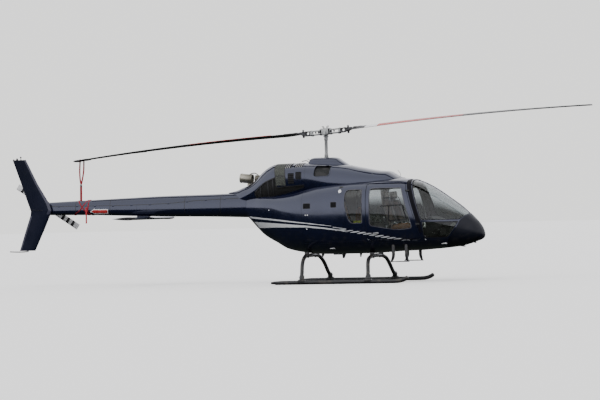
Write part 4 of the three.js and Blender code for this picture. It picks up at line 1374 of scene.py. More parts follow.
def head_matrix():
    return from_mast() @ Matrix.Translation(HUB) @ Matrix.Rotation(-ROTOR_TILT, 4, "Y")


def blade_lift(radius):
    share = max(radius - 0.45, 0) / (ROTOR_RADIUS - 0.45)
    return radius * 0.03 - 0.210 * share**2


def main_blade(direction):
    """A blade with a light root, a red band, a grey outer part and a black underside."""
    rows = np.array(MAIN_BLADE)
    stations = np.unique(
        np.concatenate([np.linspace(rows[0, 0], 0.95, 8), np.linspace(0.95, ROTOR_RADIUS, 48), rows[:, 0]])
    )
    marks = [DARK_ROOT_END, WHITE_ROOT_END, RED_BAND_END, TIP_CAP_START]
    stations = np.unique(np.concatenate([stations, marks]))
    section = airfoil(20)
    half = len(section) // 2
    rings = []
    for r in stations:
        chord, thick, pitch = (np.interp(r, rows[:, 0], rows[:, i]) for i in (1, 2, 3))
        angle = math.radians(pitch)
        ring = []
        for share, up in section:
            a, u = (0.25 - share) * chord, up * thick
            ring.append(
                (
                    direction * r, direction * (a * math.cos(angle) - u * math.sin(angle)),
                    blade_lift(r) + a * math.sin(angle) + u * math.cos(angle),
                )
            )
        rings.append(ring)
    mesh = with_material(smooth(skin(rings), 40), GREY_BLADE, WHITE_PAINT, RED_PAINT, BLACK_PAINT)
    count = len(section)
    for face in mesh.polygons:
        number, span = face.index % count, face.index // count
        if span >= len(stations) - 1:
            face.material_index = 3
            continue
        middle = (stations[span] + stations[span + 1]) / 2
        if number >= half or middle > TIP_CAP_START or middle < DARK_ROOT_END:
            face.material_index = 3
        else:
            face.material_index = 1 if middle < WHITE_ROOT_END else 2 if middle < RED_BAND_END else 0
    return mesh


def blade_fittings(direction):
    """Root doublers and the trim tab."""
    meshes = []
    for r0, r1 in ((0.62, 0.80), (0.62, 0.70)):
        z = blade_lift((r0 + r1) / 2)
        y = sorted((direction * 0.035, direction * -0.065))
        x = sorted((direction * r0, direction * r1))
        meshes.append(block((x[0], y[0], z + 0.010), (x[1], y[1], z + 0.030), 0.004))
    r = 4.25
    tilt = math.radians(2.7)
    y = direction * -0.262
    tab = block((r - 0.15, -0.030, -0.002), (r + 0.15, 0.030, 0.002), 0.001)
    tab.transform(
        Matrix.Translation(
            (direction * r, y, blade_lift(r) - 0.262 * math.sin(tilt))
        ) @ Matrix.Translation((-r, 0, 0))
    )
    meshes.append(tab)
    return meshes


def plate(low, high, holes, bevel=0.004):
    """A plate with upright holes through it, each x, y, radius."""
    mesh = box(low, high)
    for x, y, radius in holes:
        mesh = minus(mesh, cylinder(radius, (x, y, low[2] - 0.1), (x, y, high[2] + 0.1)))
    return smooth(bevelled(mesh, bevel, sharper_than=1.0), 40)


def rotor_head():
    holes = [(s * x, 0, 0.016) for s in (-1, 1) for x in (0.170, 0.225)]
    parts = [
        plate((-YOKE_END, -YOKE_HALF_WIDTH, -PLATE_OUTER), (YOKE_END, YOKE_HALF_WIDTH, -PLATE_INNER), holes),
        plate((-YOKE_END, -YOKE_HALF_WIDTH, PLATE_INNER), (YOKE_END, YOKE_HALF_WIDTH, PLATE_OUTER), holes),
        block((-0.105, -0.082, -0.060), (-0.066, 0.082, 0.060), 0.008),
        block((0.066, -0.082, -0.060), (0.105, 0.082, 0.060), 0.008),
        block((-0.105, -0.082, -0.060), (0.105, -0.048, 0.060), 0.008),
        block((-0.105, 0.048, -0.060), (0.105, 0.082, 0.060), 0.008),
        block((-0.095, -0.060, 0.060), (0.095, 0.060, 0.074), 0.005),
    ]
    for end in (-1, 1):
        x = sorted((end * (YOKE_END - 0.045), end * YOKE_END))
        low = (x[0], -YOKE_HALF_WIDTH, -PLATE_OUTER)
        high = (x[1], YOKE_HALF_WIDTH, PLATE_OUTER)
        parts.append(block(low, high, 0.010))
        y = sorted((end * 0.080, end * 0.130))
        parts.append(block((-0.024, y[0], -0.062), (0.024, y[1], -0.010), 0.006))
        parts.append(
            turned([(0.030, 0), (0.030, 0.036), (0.022, 0.042)], (0, end * 0.080, 0), (0, end, 0), 24)
        )
        for y_at in (-0.038, 0.038):
            for x_at in (0.118, YOKE_END - 0.022):
                for up in (-1, 1):
                    parts.append(bolt((end * x_at, y_at, up * PLATE_OUTER), (0, 0, up), 0.013))
    piece("rotor_yoke_plates", parts, "main_rotor", HEAD_GREY, "rotor_yoke", "bare_metal", head_matrix())
    stops = []
    for end in (-1, 1):
        for y in (-0.04, 0.04):
            stops.append(
                rod([(end * 0.030, y, 0.070), (end * 0.044, y, 0.102), (end * 0.062, y, 0.124)], 0.007)
            )
        stops.append(
            block((end * 0.125 - 0.03, -0.071, -0.020), (end * 0.125 + 0.03, -0.060, 0.020), 0.003)
        )
        stops.append(
            turned([(0.018, 0), (0.018, 0.010), (0.010, 0.014)], (end * 0.200, -0.062, 0.0), (0, -1, 0), 20)
        )
        for x_at in (0.105, 0.290):
            stops.append(
                block((end * x_at - 0.012, -0.055, -0.066), (end * x_at + 0.012, 0.055, -0.049), 0.004)
            )
    piece("rotor_head_stops", stops, "main_rotor", DARK_METAL, slot="bare_metal", matrix=head_matrix())


def blade_grip(direction, word):
    profile = [
        (YOKE_END + 0.001, -0.046), (0.450, -0.040), (GRIP_END, 0.000), (GRIP_END, 0.038),
        (0.470, 0.048), (YOKE_END + 0.001, 0.050),
    ]
    bar = prism([(direction * r, z) for r, z in profile], -YOKE_HALF_WIDTH, YOKE_HALF_WIDTH)
    for r in (0.378, 0.396):
        bar = minus(bar, cylinder(0.029, (direction * r, -0.2, 0.003), (direction * r, 0.2, 0.003)))
    x = direction * 0.490
    parts = [
        smooth(bevelled(bar, 0.006, 3, 0.8), 40),
        turned(
            [(0.016, -0.078), (0.022, -0.072), (0.022, -0.044), (0.030, -0.040), (0.030, 0.050),
             (0.020, 0.054), (0.020, 0.084), (0.014, 0.092)],
            (x, 0, 0),
            (0, 0, 1),
            28,
        ),
        rod(
            [
                (x - direction * 0.05, -0.058, -0.030), (x - direction * 0.06, -0.098, -0.048),
                (direction * 0.06, -0.118, -0.052)
            ],
            0.010
        ),
    ]
    for r in (0.420, 0.550):
        for y in (-0.040, 0.040):
            parts.append(bolt((direction * r, y, 0.049 if r < 0.5 else 0.041), (0, 0, 1), 0.011))
    piece(
        f"blade_grip_{word}_forging", parts, "main_rotor", DARK_METAL, f"blade_grip_{word}", "grey_plastic",
        head_matrix()
    )


def main_rotor():
    rotor_head()
    for direction, word in ((1, "front"), (-1, "rear")):
        blade_grip(direction, word)
        place(
            f"main_blade_{word}_skin", main_blade(direction), "main_rotor", f"main_blade_{word}",
            head_matrix(), "blade_paint"
        )
        piece(
            f"main_blade_{word}_fittings", blade_fittings(direction), "main_rotor", ALLOY,
            slot="bare_metal", matrix=head_matrix()
        )


def mast():
    shaft = turned(
        [(0.037, 2.14), (0.037, 2.60), (0.041, 2.605), (0.041, 2.66), (0.036, 2.665), (0.033, 2.70),
         (0.033, 2.95), (0.040, 2.96), (0.040, 3.01), (0.036, 3.02), (0.036, HUB[2] + 0.013)],
        (0, 0, 0),
    )
    lower_plate = turned(
        [(0.118, 2.535), (0.122, 2.540), (0.122, 2.552), (0.104, 2.562), (0.050, 2.566)], (0, 0, 0)
    )
    upper_plate = turned(
        [(0.096, 2.566), (0.100, 2.572), (0.100, 2.588), (0.060, 2.600), (0.040, 2.612)], (0, 0, 0)
    )
    piece("mast_shaft", [shaft], "mast", MAST_GREY, "rotor_mast", "bare_metal")
    plates = [lower_plate, upper_plate]
    for end in (-1, 1):
        y = end * 0.118
        plates.append(rod([(0, y, 2.560), (0, y, HUB[2] - 0.085)], 0.012, curved=False))
        for z in (2.575, HUB[2] - 0.090):
            plates.append(
                turned(
                    [(0.019, -0.013), (0.022, -0.006), (0.022, 0.006), (0.019, 0.013)], (0, y, z),
                    (1, 0, 0), 20
                )
            )
        plates.append(rod([(0, y, 2.61), (0, y, 2.70)], 0.016, curved=False))
    piece("swashplate_and_links", plates, "mast", LINK_GREY, slot="bare_metal")
    boot = turned([(0.134, 2.520), (0.132, 2.575), (0.118, 2.600), (0.128, 2.590)], (0, 0, 0))
    piece("mast_opening_seal", [boot], "airframe", SEAL, slot="black_paint")


# Tail rotor

TAIL_LEAD = 0.062
TAIL_TRAIL = -0.068
TAIL_BANDS = (0.115, 0.175, 0.245, 0.305, 0.375, 0.435)


def tail_matrix():
    return from_mast() @ Matrix.Translation(TAIL_ROTOR) @ Matrix.Rotation(TAIL_ROTOR_ANGLE, 4, "Y")


def tail_blade(direction):
    rows = [
        (0.095, 0.040, -0.045, 0.020), (0.190, TAIL_LEAD, TAIL_TRAIL, 0.017),
        (TAIL_ROTOR_RADIUS, TAIL_LEAD, TAIL_TRAIL, 0.013),
    ]
    marks = [(TAIL_ROTOR_RADIUS - band, TAIL_LEAD, TAIL_TRAIL, 0.015) for band in TAIL_BANDS]
    mesh = wing(
        rows + marks,
        lambda across, offset, at: (direction * at, offset, direction * across),
        points=14,
        steps=16,
    )
    with_material(mesh, BLACK_PAINT, WHITE_PAINT)
    for face in mesh.polygons:
        from_tip = TAIL_ROTOR_RADIUS - direction * face.center.x
        face.material_index = (1 + sum(from_tip > band for band in TAIL_BANDS)) % 2
    return mesh


def tail_rotor():
    hub = [
        plate((-0.088, -0.014, -0.034), (0.088, 0.014, 0.034), []),
        turned(
            [
                (0.036, -0.046), (0.036, 0.040), (0.026, 0.048), (0.020, 0.050), (0.020, 0.062),
                (0.012, 0.066)
            ],
            (0, 0, 0), (0, 1, 0)
        ),
    ]
    for direction, word in ((1, "front"), (-1, "rear")):
        place(
            f"tail_blade_{word}_skin", tail_blade(direction), "tail_rotor", f"tail_blade_{word}",
            tail_matrix(), "blade_paint"
        )
        x = direction * 0.085
        for z in (-0.022, 0.022):
            hub.append(bolt((x - direction * 0.02, 0.014, z), (0, 1, 0), 0.009))
        hub.append(
            rod([(x, -0.030, 0.030 * direction), (direction * 0.13, -0.040, 0.070 * direction)], 0.006)
        )
        hub.append(
            block((min(x, direction * 0.2), -0.011, -0.020), (max(x, direction * 0.2), 0.011, 0.020), 0.004)
        )
    piece(
        "tail_rotor_hub_and_links", hub, "tail_rotor", STEEL, "tail_rotor_hub", "bare_metal", tail_matrix()
    )
    x, _, z = TAIL_ROTOR
    housing = [
        turned(
            [(0.070, 0.060), (0.085, 0.068), (0.085, 0.120), (0.078, 0.130), (0.078, 0.165),
             (0.064, 0.185), (0.048, 0.190), (0.048, 0.268), (0.040, 0.275)],
            (x, 0, z),
            (0, 1, 0),
        ),
        turned(
            [(0.052, 0), (0.052, 0.045), (0.030, 0.060)], (x + 0.085, 0.105, z + 0.015), (1, 0, 0.1), 28
        ),
        turned(
            [(0.018, 0), (0.018, 0.026), (0.022, 0.028), (0.022, 0.038)], (x, 0.11, z + 0.080), (0, 0, 1),
            20
        ),
    ]
    for angle in around(8):
        housing.append(
            bolt((x + 0.074 * math.cos(angle), 0.131, z + 0.074 * math.sin(angle)), (0, 1, 0), 0.007)
        )
    piece("tail_gearbox_casting", housing, "airframe", ENGINE_METAL, "tail_rotor_gearbox", "engine_metal")
    skid = rod(
        [
            (-6.690, FIN_Y, 0.7765), (-6.830, FIN_Y, 0.7685), (-6.970, FIN_Y, 0.7705),
            (-7.120, FIN_Y, 0.7765)
        ], 0.013
    )
    piece("tail_skid_bar", [skid], "airframe", STEEL, "tail_skid", "bare_metal")


# Landing gear and steps

SKID_Y = 0.985
SKID_RADIUS = 0.042
CROSS_TUBE_RADIUS = 0.040
FOOT_Z = 2 * SKID_RADIUS + 0.022
# Each cross tube's top x, its feet's x and its top's height.
CROSS_TUBES = {"cross_tube_front": (1.036, 1.133, 0.552), "cross_tube_rear": (-0.370, -0.286, 0.580)}


def cross_tube(name, top_x, foot_x, top_z):
    half = [
        (SKID_Y, FOOT_Z), (SKID_Y - 0.014, FOOT_Z + 0.040), (0.890, 0.225), (0.770, 0.385),
        (0.640, 0.490), (0.480, top_z - 0.022), (0.330, top_z),
    ]

    def lean(z):
        return top_x + (foot_x - top_x) * (top_z - z) / (top_z - FOOT_Z)

    points = [(lean(z), -y, z) for y, z in half] + [(lean(z), y, z) for y, z in reversed(half)]
    tube = rod(points, CROSS_TUBE_RADIUS, 24, across=(1, 0, 0))
    piece(f"{name}_bow", [tube], "airframe", BLACK, name, "black_paint")
    clamps = []
    for y in (-0.330, 0.330):
        clamps.append(
            block(
                (top_x - 0.045, y - 0.030, top_z - 0.046), (top_x + 0.045, y + 0.030, top_z + 0.075), 0.008
            )
        )
        for x in (top_x - 0.036, top_x + 0.036):
            clamps.append(bolt((x, y, top_z - 0.046), (0, 0, -1), 0.010))
    for y in (-SKID_Y, SKID_Y):
        inward = -math.copysign(1, y)
        base = (foot_x, y, FOOT_Z - 0.018)
        clamps.append(
            turned(
                [(0.049, 0), (0.052, 0.010), (0.052, 0.085), (0.046, 0.100)], base, (0, inward * 0.33, 1),
                28
            )
        )
        clamps.append(
            rod(
                [(foot_x - 0.056, y, 0.150), (foot_x + 0.056, y, 0.150)], 0.008, curved=False,
                across=(0, 0, 1)
            )
        )
    piece(f"{name}_clamps", clamps, "airframe", BLACK, slot="black_paint")


def skid(side, word):
    y = side * SKID_Y
    rise = [(1.6, 0), (1.7, 0.001), (1.8, 0.008), (1.9, 0.036), (1.975, 0.084)]
    points = [(x, y, SKID_RADIUS) for x in (-0.944, 0, 1.0)] + [(x, y, SKID_RADIUS + up) for x, up in rise]
    path = curve_through(points, 8)
    ends = [0.55, 0.85] + [1] * (len(path) - 4) + [0.85, 0.5]
    tube = rod(path, [SKID_RADIUS * e for e in ends], 24, curved=False)
    parts = [tube]
    for _, foot_x, _ in CROSS_TUBES.values():
        parts.append(
            block(
                (foot_x - 0.075, y - 0.045, SKID_RADIUS), (foot_x + 0.075, y + 0.045, FOOT_Z - 0.012), 0.010
            )
        )
        for dx in (-0.060, 0.060):
            parts.append(bolt((foot_x + dx, y + side * 0.020, FOOT_Z - 0.012), (0, 0, 1), 0.011))
    for x0, x1 in ((-0.85, -0.35), (0.85, 1.45)):
        parts.append(block((x0, y - 0.030, 0.000), (x1, y + 0.030, 0.014), 0.004))
    piece(f"skid_{word}_tube", parts, "airframe", BLACK, f"skid_{word}", "black_paint")


STEP_Y = 0.530
STEP_REAR_STRUT = [
    (1.518, 0.780), (1.582, 0.780), (1.582, 0.520), (1.530, 0.430), (1.482, 0.430), (1.518, 0.520)
]
STEP_FRONT_STRUT = [
    (1.792, 0.780), (1.856, 0.780), (1.856, 0.520), (1.880, 0.430), (1.832, 0.430), (1.792, 0.520)
]


def rounded_strut(outline):
    return rounded([(x, z, 0.05) for x, z in outline], 5)


def step(side, word):
    y = side * STEP_Y
    struts = [
        extruded(rounded_strut(o), y - 0.012, y + 0.012, 0.005) for o in (STEP_REAR_STRUT, STEP_FRONT_STRUT)
    ]
    tread = block((1.476, y - 0.028, 0.418), (1.886, y + 0.028, 0.436), 0.006)
    grips = [
        block((x, y - 0.024, 0.436), (x + 0.008, y + 0.024, 0.4385), 0.001)
        for x in np.arange(1.60, 1.78, 0.022)
    ]
    piece(
        f"step_{word}_bracket", struts + [tread] + grips, "airframe", BLACK, f"step_{word}", "black_paint"
    )


def landing_gear():
    for name, row in CROSS_TUBES.items():
        cross_tube(name, *row)
    for side, word in SIDES:
        skid(side, word)
        step(side, word)


# Cabin furniture

COCKPIT_HIP = (1.540, 1.160)
BENCH_HIP = (0.330, 1.170)
PAD_VOXEL = 0.012
PAD_SWELL = 0.022
PAD_PRESSURE = 4.0
PAD_FRAMES = 20


def blown_up(mesh):
    """Cloth round a block, inflated and then fixed, as a stuffed pad."""
    scene = bpy.context.scene
    obj = mesh_object("pad_in_the_making", mesh)
    remesh = obj.modifiers.new("remesh", "REMESH")
    remesh.mode = "VOXEL"
    remesh.voxel_size = PAD_VOXEL
    graph = bpy.context.evaluated_depsgraph_get()
    even = bpy.data.meshes.new_from_object(obj.evaluated_get(graph))
    obj.modifiers.clear()
    obj.data = even
    cloth = obj.modifiers.new("cloth", "CLOTH")
    cloth.settings.use_pressure = True
    cloth.settings.uniform_pressure_force = PAD_PRESSURE
    cloth.settings.effector_weights.gravity = 0
    cloth.collision_settings.use_collision = False
    before = points_of(even)
    for number in range(1, PAD_FRAMES + 1):
        scene.frame_set(number)
    graph = bpy.context.evaluated_depsgraph_get()
    move = points_of(obj.evaluated_get(graph).data) - before
    length = np.maximum(np.linalg.norm(move, axis=1), 1e-9)
    move *= np.minimum(1, PAD_SWELL / length)[:, None]
    obj.modifiers.clear()
    even.vertices.foreach_set("co", (before + move).reshape(-1))
    smoother = obj.modifiers.new("subdivision", "SUBSURF")
    smoother.levels = 1
    graph = bpy.context.evaluated_depsgraph_get()
    made = bpy.data.meshes.new_from_object(obj.evaluated_get(graph))
    bpy.data.objects.remove(obj)
    scene.frame_set(1)
    return made


SEAM_HALF_WIDTH = 0.009
SEAM_DEPTH = 0.012


def pad(width, length, thick, seams_across=(), seams_along=()):
    """A stuffed pad on z = 0 with sewn channels pressed into its upper face."""
    draw = 0.5 * PAD_SWELL
    mesh = block(
        (-length / 2 + draw, -width / 2 + draw, draw),
        (length / 2 - draw, width / 2 - draw, thick - draw), thick * 0.3, 4,
    )
    mesh = blown_up(mesh)
    points = points_of(mesh)
    groove = np.zeros(len(points))
    for axis, seams in ((0, seams_across), (1, seams_along)):
        for middle in seams:
            groove = np.maximum(groove, np.exp(-(((points[:, axis] - middle) / SEAM_HALF_WIDTH) ** 2)))
    upper = np.clip((points[:, 2] - thick * 0.45) / (thick * 0.3), 0, 1)
    points[:, 2] -= SEAM_DEPTH * groove * upper
    points[:, 2] = np.maximum(points[:, 2], 0.001)
    mesh.vertices.foreach_set("co", points.reshape(-1))
    return smooth(mesh, 180)


def copy_at(mesh, matrix):
    made = mesh.copy()
    made.transform(matrix)
    return made


def seat_matrices(hip, y):
    """Where the cushion, the back pad and the head pad of one place go."""
    x, z = hip
    cushion = Matrix.Translation((x + 0.165, y, z - 0.072)) @ Matrix.Rotation(math.radians(-3), 4, "Y")
    upright = []
    for across, up, lean in ((-0.141, 0.288, 73), (-0.222, 0.640, 82)):
        turn = Matrix.Rotation(math.radians(lean), 4, "Y") @ Matrix.Rotation(math.pi, 4, "Z")
        upright.append(Matrix.Translation((x + across, y, z + up)) @ turn)
    return cushion, *upright


def soft(name, mesh, matrix, material):
    obj = piece(name, copy_at(mesh, matrix), "airframe", material, slot="tan_leather")
    return obj


# Runs of the webbing from the hip: ahead of it, to the side of the seat's middle, above it.
SHOULDER_RUN = [
    (-0.205, 0.060, 0.570),
    (-0.140, 0.068, 0.588),
    (-0.098, 0.075, 0.535),
    (-0.034, 0.085, 0.320),
    (0.022, 0.068, 0.150),
    (0.105, 0.025, 0.074),
]
LAP_RUN = [(-0.020, 0.190, -0.010), (0.050, 0.140, 0.055), (0.110, 0.030, 0.070)]


WEBBING_HALF_THICKNESS = 0.0015
WEBBING_WIDE = 15


def webbing(points, across):
    """A flat belt along points, WEBBING_WIDE times as wide as it is thick."""
    return rod(points, WEBBING_HALF_THICKNESS, 8, wide=WEBBING_WIDE, across=across)


def harness(hip, y):
    x, z = hip
    straps = []
    for side in (-1, 1):
        for run, across in ((SHOULDER_RUN, (1, 0, 0.3)), (LAP_RUN, (0.3, 0, 1))):
            straps.append(webbing([(x + dx, y + side * dy, z + dz) for dx, dy, dz in run], across))
    return straps


def seats():
    cushion = pad(0.390, 0.480, 0.110, (-0.070, 0.080), (-0.105, 0.105))
    back = pad(0.380, 0.520, 0.100, (-0.120, 0.0, 0.120), (-0.110, 0.110))
    head = pad(0.260, 0.150, 0.085)
    places = [("pilot", COCKPIT_HIP, -0.315), ("copilot", COCKPIT_HIP, 0.315)]
    places += [
        (f"bench_{word}", BENCH_HIP, y) for word, y in (("right", -0.392), ("middle", 0.0), ("left", 0.392))
    ]
    for word, hip, y in places:
        cushion_at, back_at, head_at = seat_matrices(hip, y)
        soft(f"{word}_cushion", cushion, cushion_at, LEATHER)
        soft(f"{word}_back_pad", back, back_at, LEATHER if word.startswith("bench") else BEIGE)
        soft(f"{word}_head_pad", head, head_at, BEIGE)
        piece(f"{word}_harness", harness(hip, y), "airframe", WEBBING, slot="grey_plastic")
        if not word.startswith("bench"):
            out = y + math.copysign(0.212, y)
            x, z = hip
            run = [(x - 0.180, out, z + 0.200), (x - 0.150, out, z + 0.100), (x - 0.123, out, z - 0.020)]
            belt = webbing(run, (0, 1, 0))
            piece(f"{word}_belt_end", [belt], "airframe", WEBBING, slot="grey_plastic")
            buckles = [
                block((x - 0.140, out - 0.006, z - 0.050), (x - 0.108, out + 0.006, z + 0.005), 0.003),
                block((x - 0.185, out - 0.006, z + 0.160), (x - 0.160, out + 0.006, z + 0.190), 0.003)
            ]
            piece(f"{word}_belt_tongue", buckles, "airframe", STEEL, slot="bare_metal")
        buckle = block(
            (hip[0] + 0.090, y - 0.028, hip[1] + 0.066), (hip[0] + 0.140, y + 0.028, hip[1] + 0.084), 0.004
        )
        piece(f"{word}_buckle", [buckle], "airframe", DARK_METAL, slot="bare_metal")
    for word, (x, z), y, half_width, node in (
        ("pilot", COCKPIT_HIP, -0.315, 0.198, "pilot_seat"),
        ("copilot", COCKPIT_HIP, 0.315, 0.198, "copilot_seat"),
        ("bench", BENCH_HIP, 0.0, 0.585, "rear_bench"),
    ):
        pan = rounded(
            [
                (x - 0.085, DECK_Z, 0.01), (x + 0.36, DECK_Z, 0.02), (x + 0.41, z - 0.085, 0.03),
                (x - 0.10, z - 0.075, 0.02)
            ],
            4
        )
        front_line = [
            (-0.047, -0.02, 0.005), (-0.141, 0.288, 0.05), (-0.204, 0.50, 0.05), (-0.226, 0.700, 0.006)
        ]
        rear_line = [(across - 0.018, up, radius) for across, up, radius in reversed(front_line)]
        shell_back = rounded(
            [(x + across, z + up, radius) for across, up, radius in front_line + rear_line], 4
        )
        frame_parts = [
            extruded(pan, y - half_width, y + half_width, 0.010),
            extruded(shell_back, y - half_width + 0.01, y + half_width - 0.01, 0.004),
        ]
        piece(f"{word}_seat_frame", frame_parts, "airframe", BEIGE_PLASTIC, node, "tan_leather")


BOLSTER = [
    (0.400, 1.205, 0.03),
    (0.655, 1.205, 0.03),
    (0.597, 1.400, 0.08),
    (0.560, 1.535, 0.04),
    (0.490, 1.570, 0.03),
    (0.420, 1.500, 0.05),
]


def bench_ends():
    """Padded side bolsters of the rear bench, and a rolled strap on the sill beside them."""
    for side, word in SIDES:
        low, high = sorted((side * 0.590, side * 0.655))
        obj = piece(
            f"bench_bolster_{word}", extruded(rounded(BOLSTER, 4), low, high, 0.018), "airframe", LEATHER,
            slot="tan_leather"
        )
    turns = []
    for row in range(3):
        for k in range(4):
            x = 0.765 + 0.045 * k + 0.012 * (row % 2)
            turns.append(
                rod(
                    [(x, -0.705, 1.238 + 0.016 * row), (x + 0.030, -0.665, 1.244 + 0.016 * row)], 0.008, 8,
                    wide=1.8
                )
            )
    piece("rolled_strap", turns, "airframe", YELLOW, slot="grey_plastic")


def console():
    profile = [
        (2.120, DECK_Z, 0.02), (2.400, DECK_Z, 0.03), (2.560, 1.180, 0.03), (2.520, 1.215, 0.03),
        (2.260, 1.318, 0.02), (2.205, 1.300, 0.02), (2.190, 1.130, 0.02),
    ]
    body = within(extruded(rounded(profile, 4), -0.33, 0.33, 0.012), fuselage.mesh(2.7, 2.0, WALL + 0.015))
    piece("console_body", smooth(body, 35), "airframe", PANEL, "instrument_console", "grey_plastic")
    hood = rounded(
        [
            (2.150, 1.318, 0.006), (2.262, 1.338, 0.01), (2.530, 1.226, 0.01), (2.520, 1.214, 0.005),
            (2.262, 1.322, 0.01), (2.152, 1.304, 0.004)
        ],
        3
    )
    hood_mesh = within(extruded(hood, -0.36, 0.36, 0.003), fuselage.mesh(2.8, 2.0, WALL + 0.006))
    piece("glare_shield", smooth(hood_mesh, 35), "airframe", TRIM, slot="grey_plastic")
    avionics = [
        block((2.575, -0.20, 0.80), (2.860, 0.20, 1.130), 0.012),
        block((2.420, -0.36, 0.874), (2.600, 0.36, 0.905), 0.008),
    ]
    for k in range(5):
        avionics.append(block((2.60 + 0.05 * k, -0.206, 0.84), (2.62 + 0.05 * k, 0.206, 1.09), 0.003))
    piece("avionics_boxes", avionics, "airframe", TRIM, slot="grey_plastic")
    # Small light grey blocks on the console's sides: painted glints, seen through the chin windows.
    glint_blocks = []
    for x, z, size in (
        (2.330, 1.000, 0.011), (2.372, 0.990, 0.014), (2.470, 1.060, 0.012), (2.500, 1.015, 0.010),
        (2.520, 1.075, 0.009)
    ):
        for y_low, y_high in ((-0.338, -0.3285), (0.3285, 0.338)):
            glint_blocks.append(block((x - size, y_low, z - size), (x + size, y_high, z + size), 0.003))
    piece("console_side_painted_glints", glint_blocks, "airframe", HEAD_GREY, slot="grey_plastic")
    screens, bezels = [], []
    for y in (-0.205, 0.0, 0.205):
        bezels.append(block((2.178, y - 0.090, 1.145), (2.196, y + 0.090, 1.292), 0.005))
        screens.append(block((2.174, y - 0.078, 1.160), (2.180, y + 0.078, 1.284), 0.002))
    for k in range(8):
        bezels.append(
            turned(
                [(0.008, 0), (0.008, 0.012), (0.006, 0.014)], (2.180, -0.28 + 0.08 * k, 1.125), (-1, 0, 0),
                16
            )
        )
    for k in range(3):
        bezels.append(block((2.140, -0.09, 0.93 + 0.055 * k), (2.150, 0.09, 0.975 + 0.055 * k), 0.003))
    piece("console_bezels", bezels, "airframe", DARK_METAL, slot="grey_plastic")
    piece("console_screens", screens, "airframe", SCREEN_GLASS, slot="grey_plastic")


def controls():
    parts = []
    for y in (-0.315, 0.315):
        parts.append(rod([(2.02, y, 0.872), (2.00, y, 1.00), (1.96, y, 1.12), (1.975, y, 1.24)], 0.011))
        parts.append(
            turned(
                [(0.015, 0), (0.019, 0.02), (0.017, 0.08), (0.020, 0.11), (0.012, 0.13)], (1.975, y, 1.23),
                (0.1, 0, 1), 20
            )
        )
        side = y + 0.215
        parts.append(rod([(1.46, side, 0.93), (1.62, side, 1.00), (1.80, side, 1.09)], 0.012))
        parts.append(
            turned(
                [(0.017, 0), (0.019, 0.02), (0.019, 0.11), (0.014, 0.13)], (1.78, side, 1.08),
                (0.9, 0, 0.42), 20
            )
        )
        for dy in (-0.085, 0.085):
            parts.append(rod([(2.46, y + dy, 0.872), (2.44, y + dy, 0.95), (2.42, y + dy, 1.00)], 0.008))
            parts.append(block((2.405, y + dy - 0.045, 0.985), (2.425, y + dy + 0.045, 1.045), 0.005))
    piece("flight_controls", parts, "airframe", DARK_METAL, slot="grey_plastic")


def cabin_floor():
    slab = wide_box(BULKHEAD_X + WALL, 4, DECK_Z - WALL, DECK_Z - 0.004)
    carpet = wide_box(BULKHEAD_X + WALL, 4, DECK_Z - 0.004, DECK_Z + 0.004)
    floor_mesh = within(fuselage.mesh(2.56, BULKHEAD_X + WALL + SEAM, WALL + SEAM), slab)
    piece("cabin_floor_slab", smooth(floor_mesh), "airframe", TRIM, "cabin_floor", "grey_plastic")
    carpet_mesh = within(fuselage.mesh(2.54, BULKHEAD_X + WALL + 2 * SEAM, WALL + 2 * SEAM), carpet)
    piece("cabin_floor_carpet", smooth(carpet_mesh), "airframe", CARPET, slot="grey_plastic")
    sheet = wide_box(BULKHEAD_X + 0.04, BULKHEAD_X + 0.06, 0.875, 3)
    bulkhead = within(fuselage.mesh(0.5, -0.5, WALL + 0.004), sheet)
    piece("cabin_rear_bulkhead", smooth(bulkhead), "airframe", HEADLINER, slot="grey_plastic")


# Openings and fittings on the skin


def polygon(points, side=None, near=0.15):
    """A prism over plain side-view points, on one side or across the whole body."""
    if side is None:
        return prism(points, -1.3, 1.3)
    return side_prism(points, side, near)


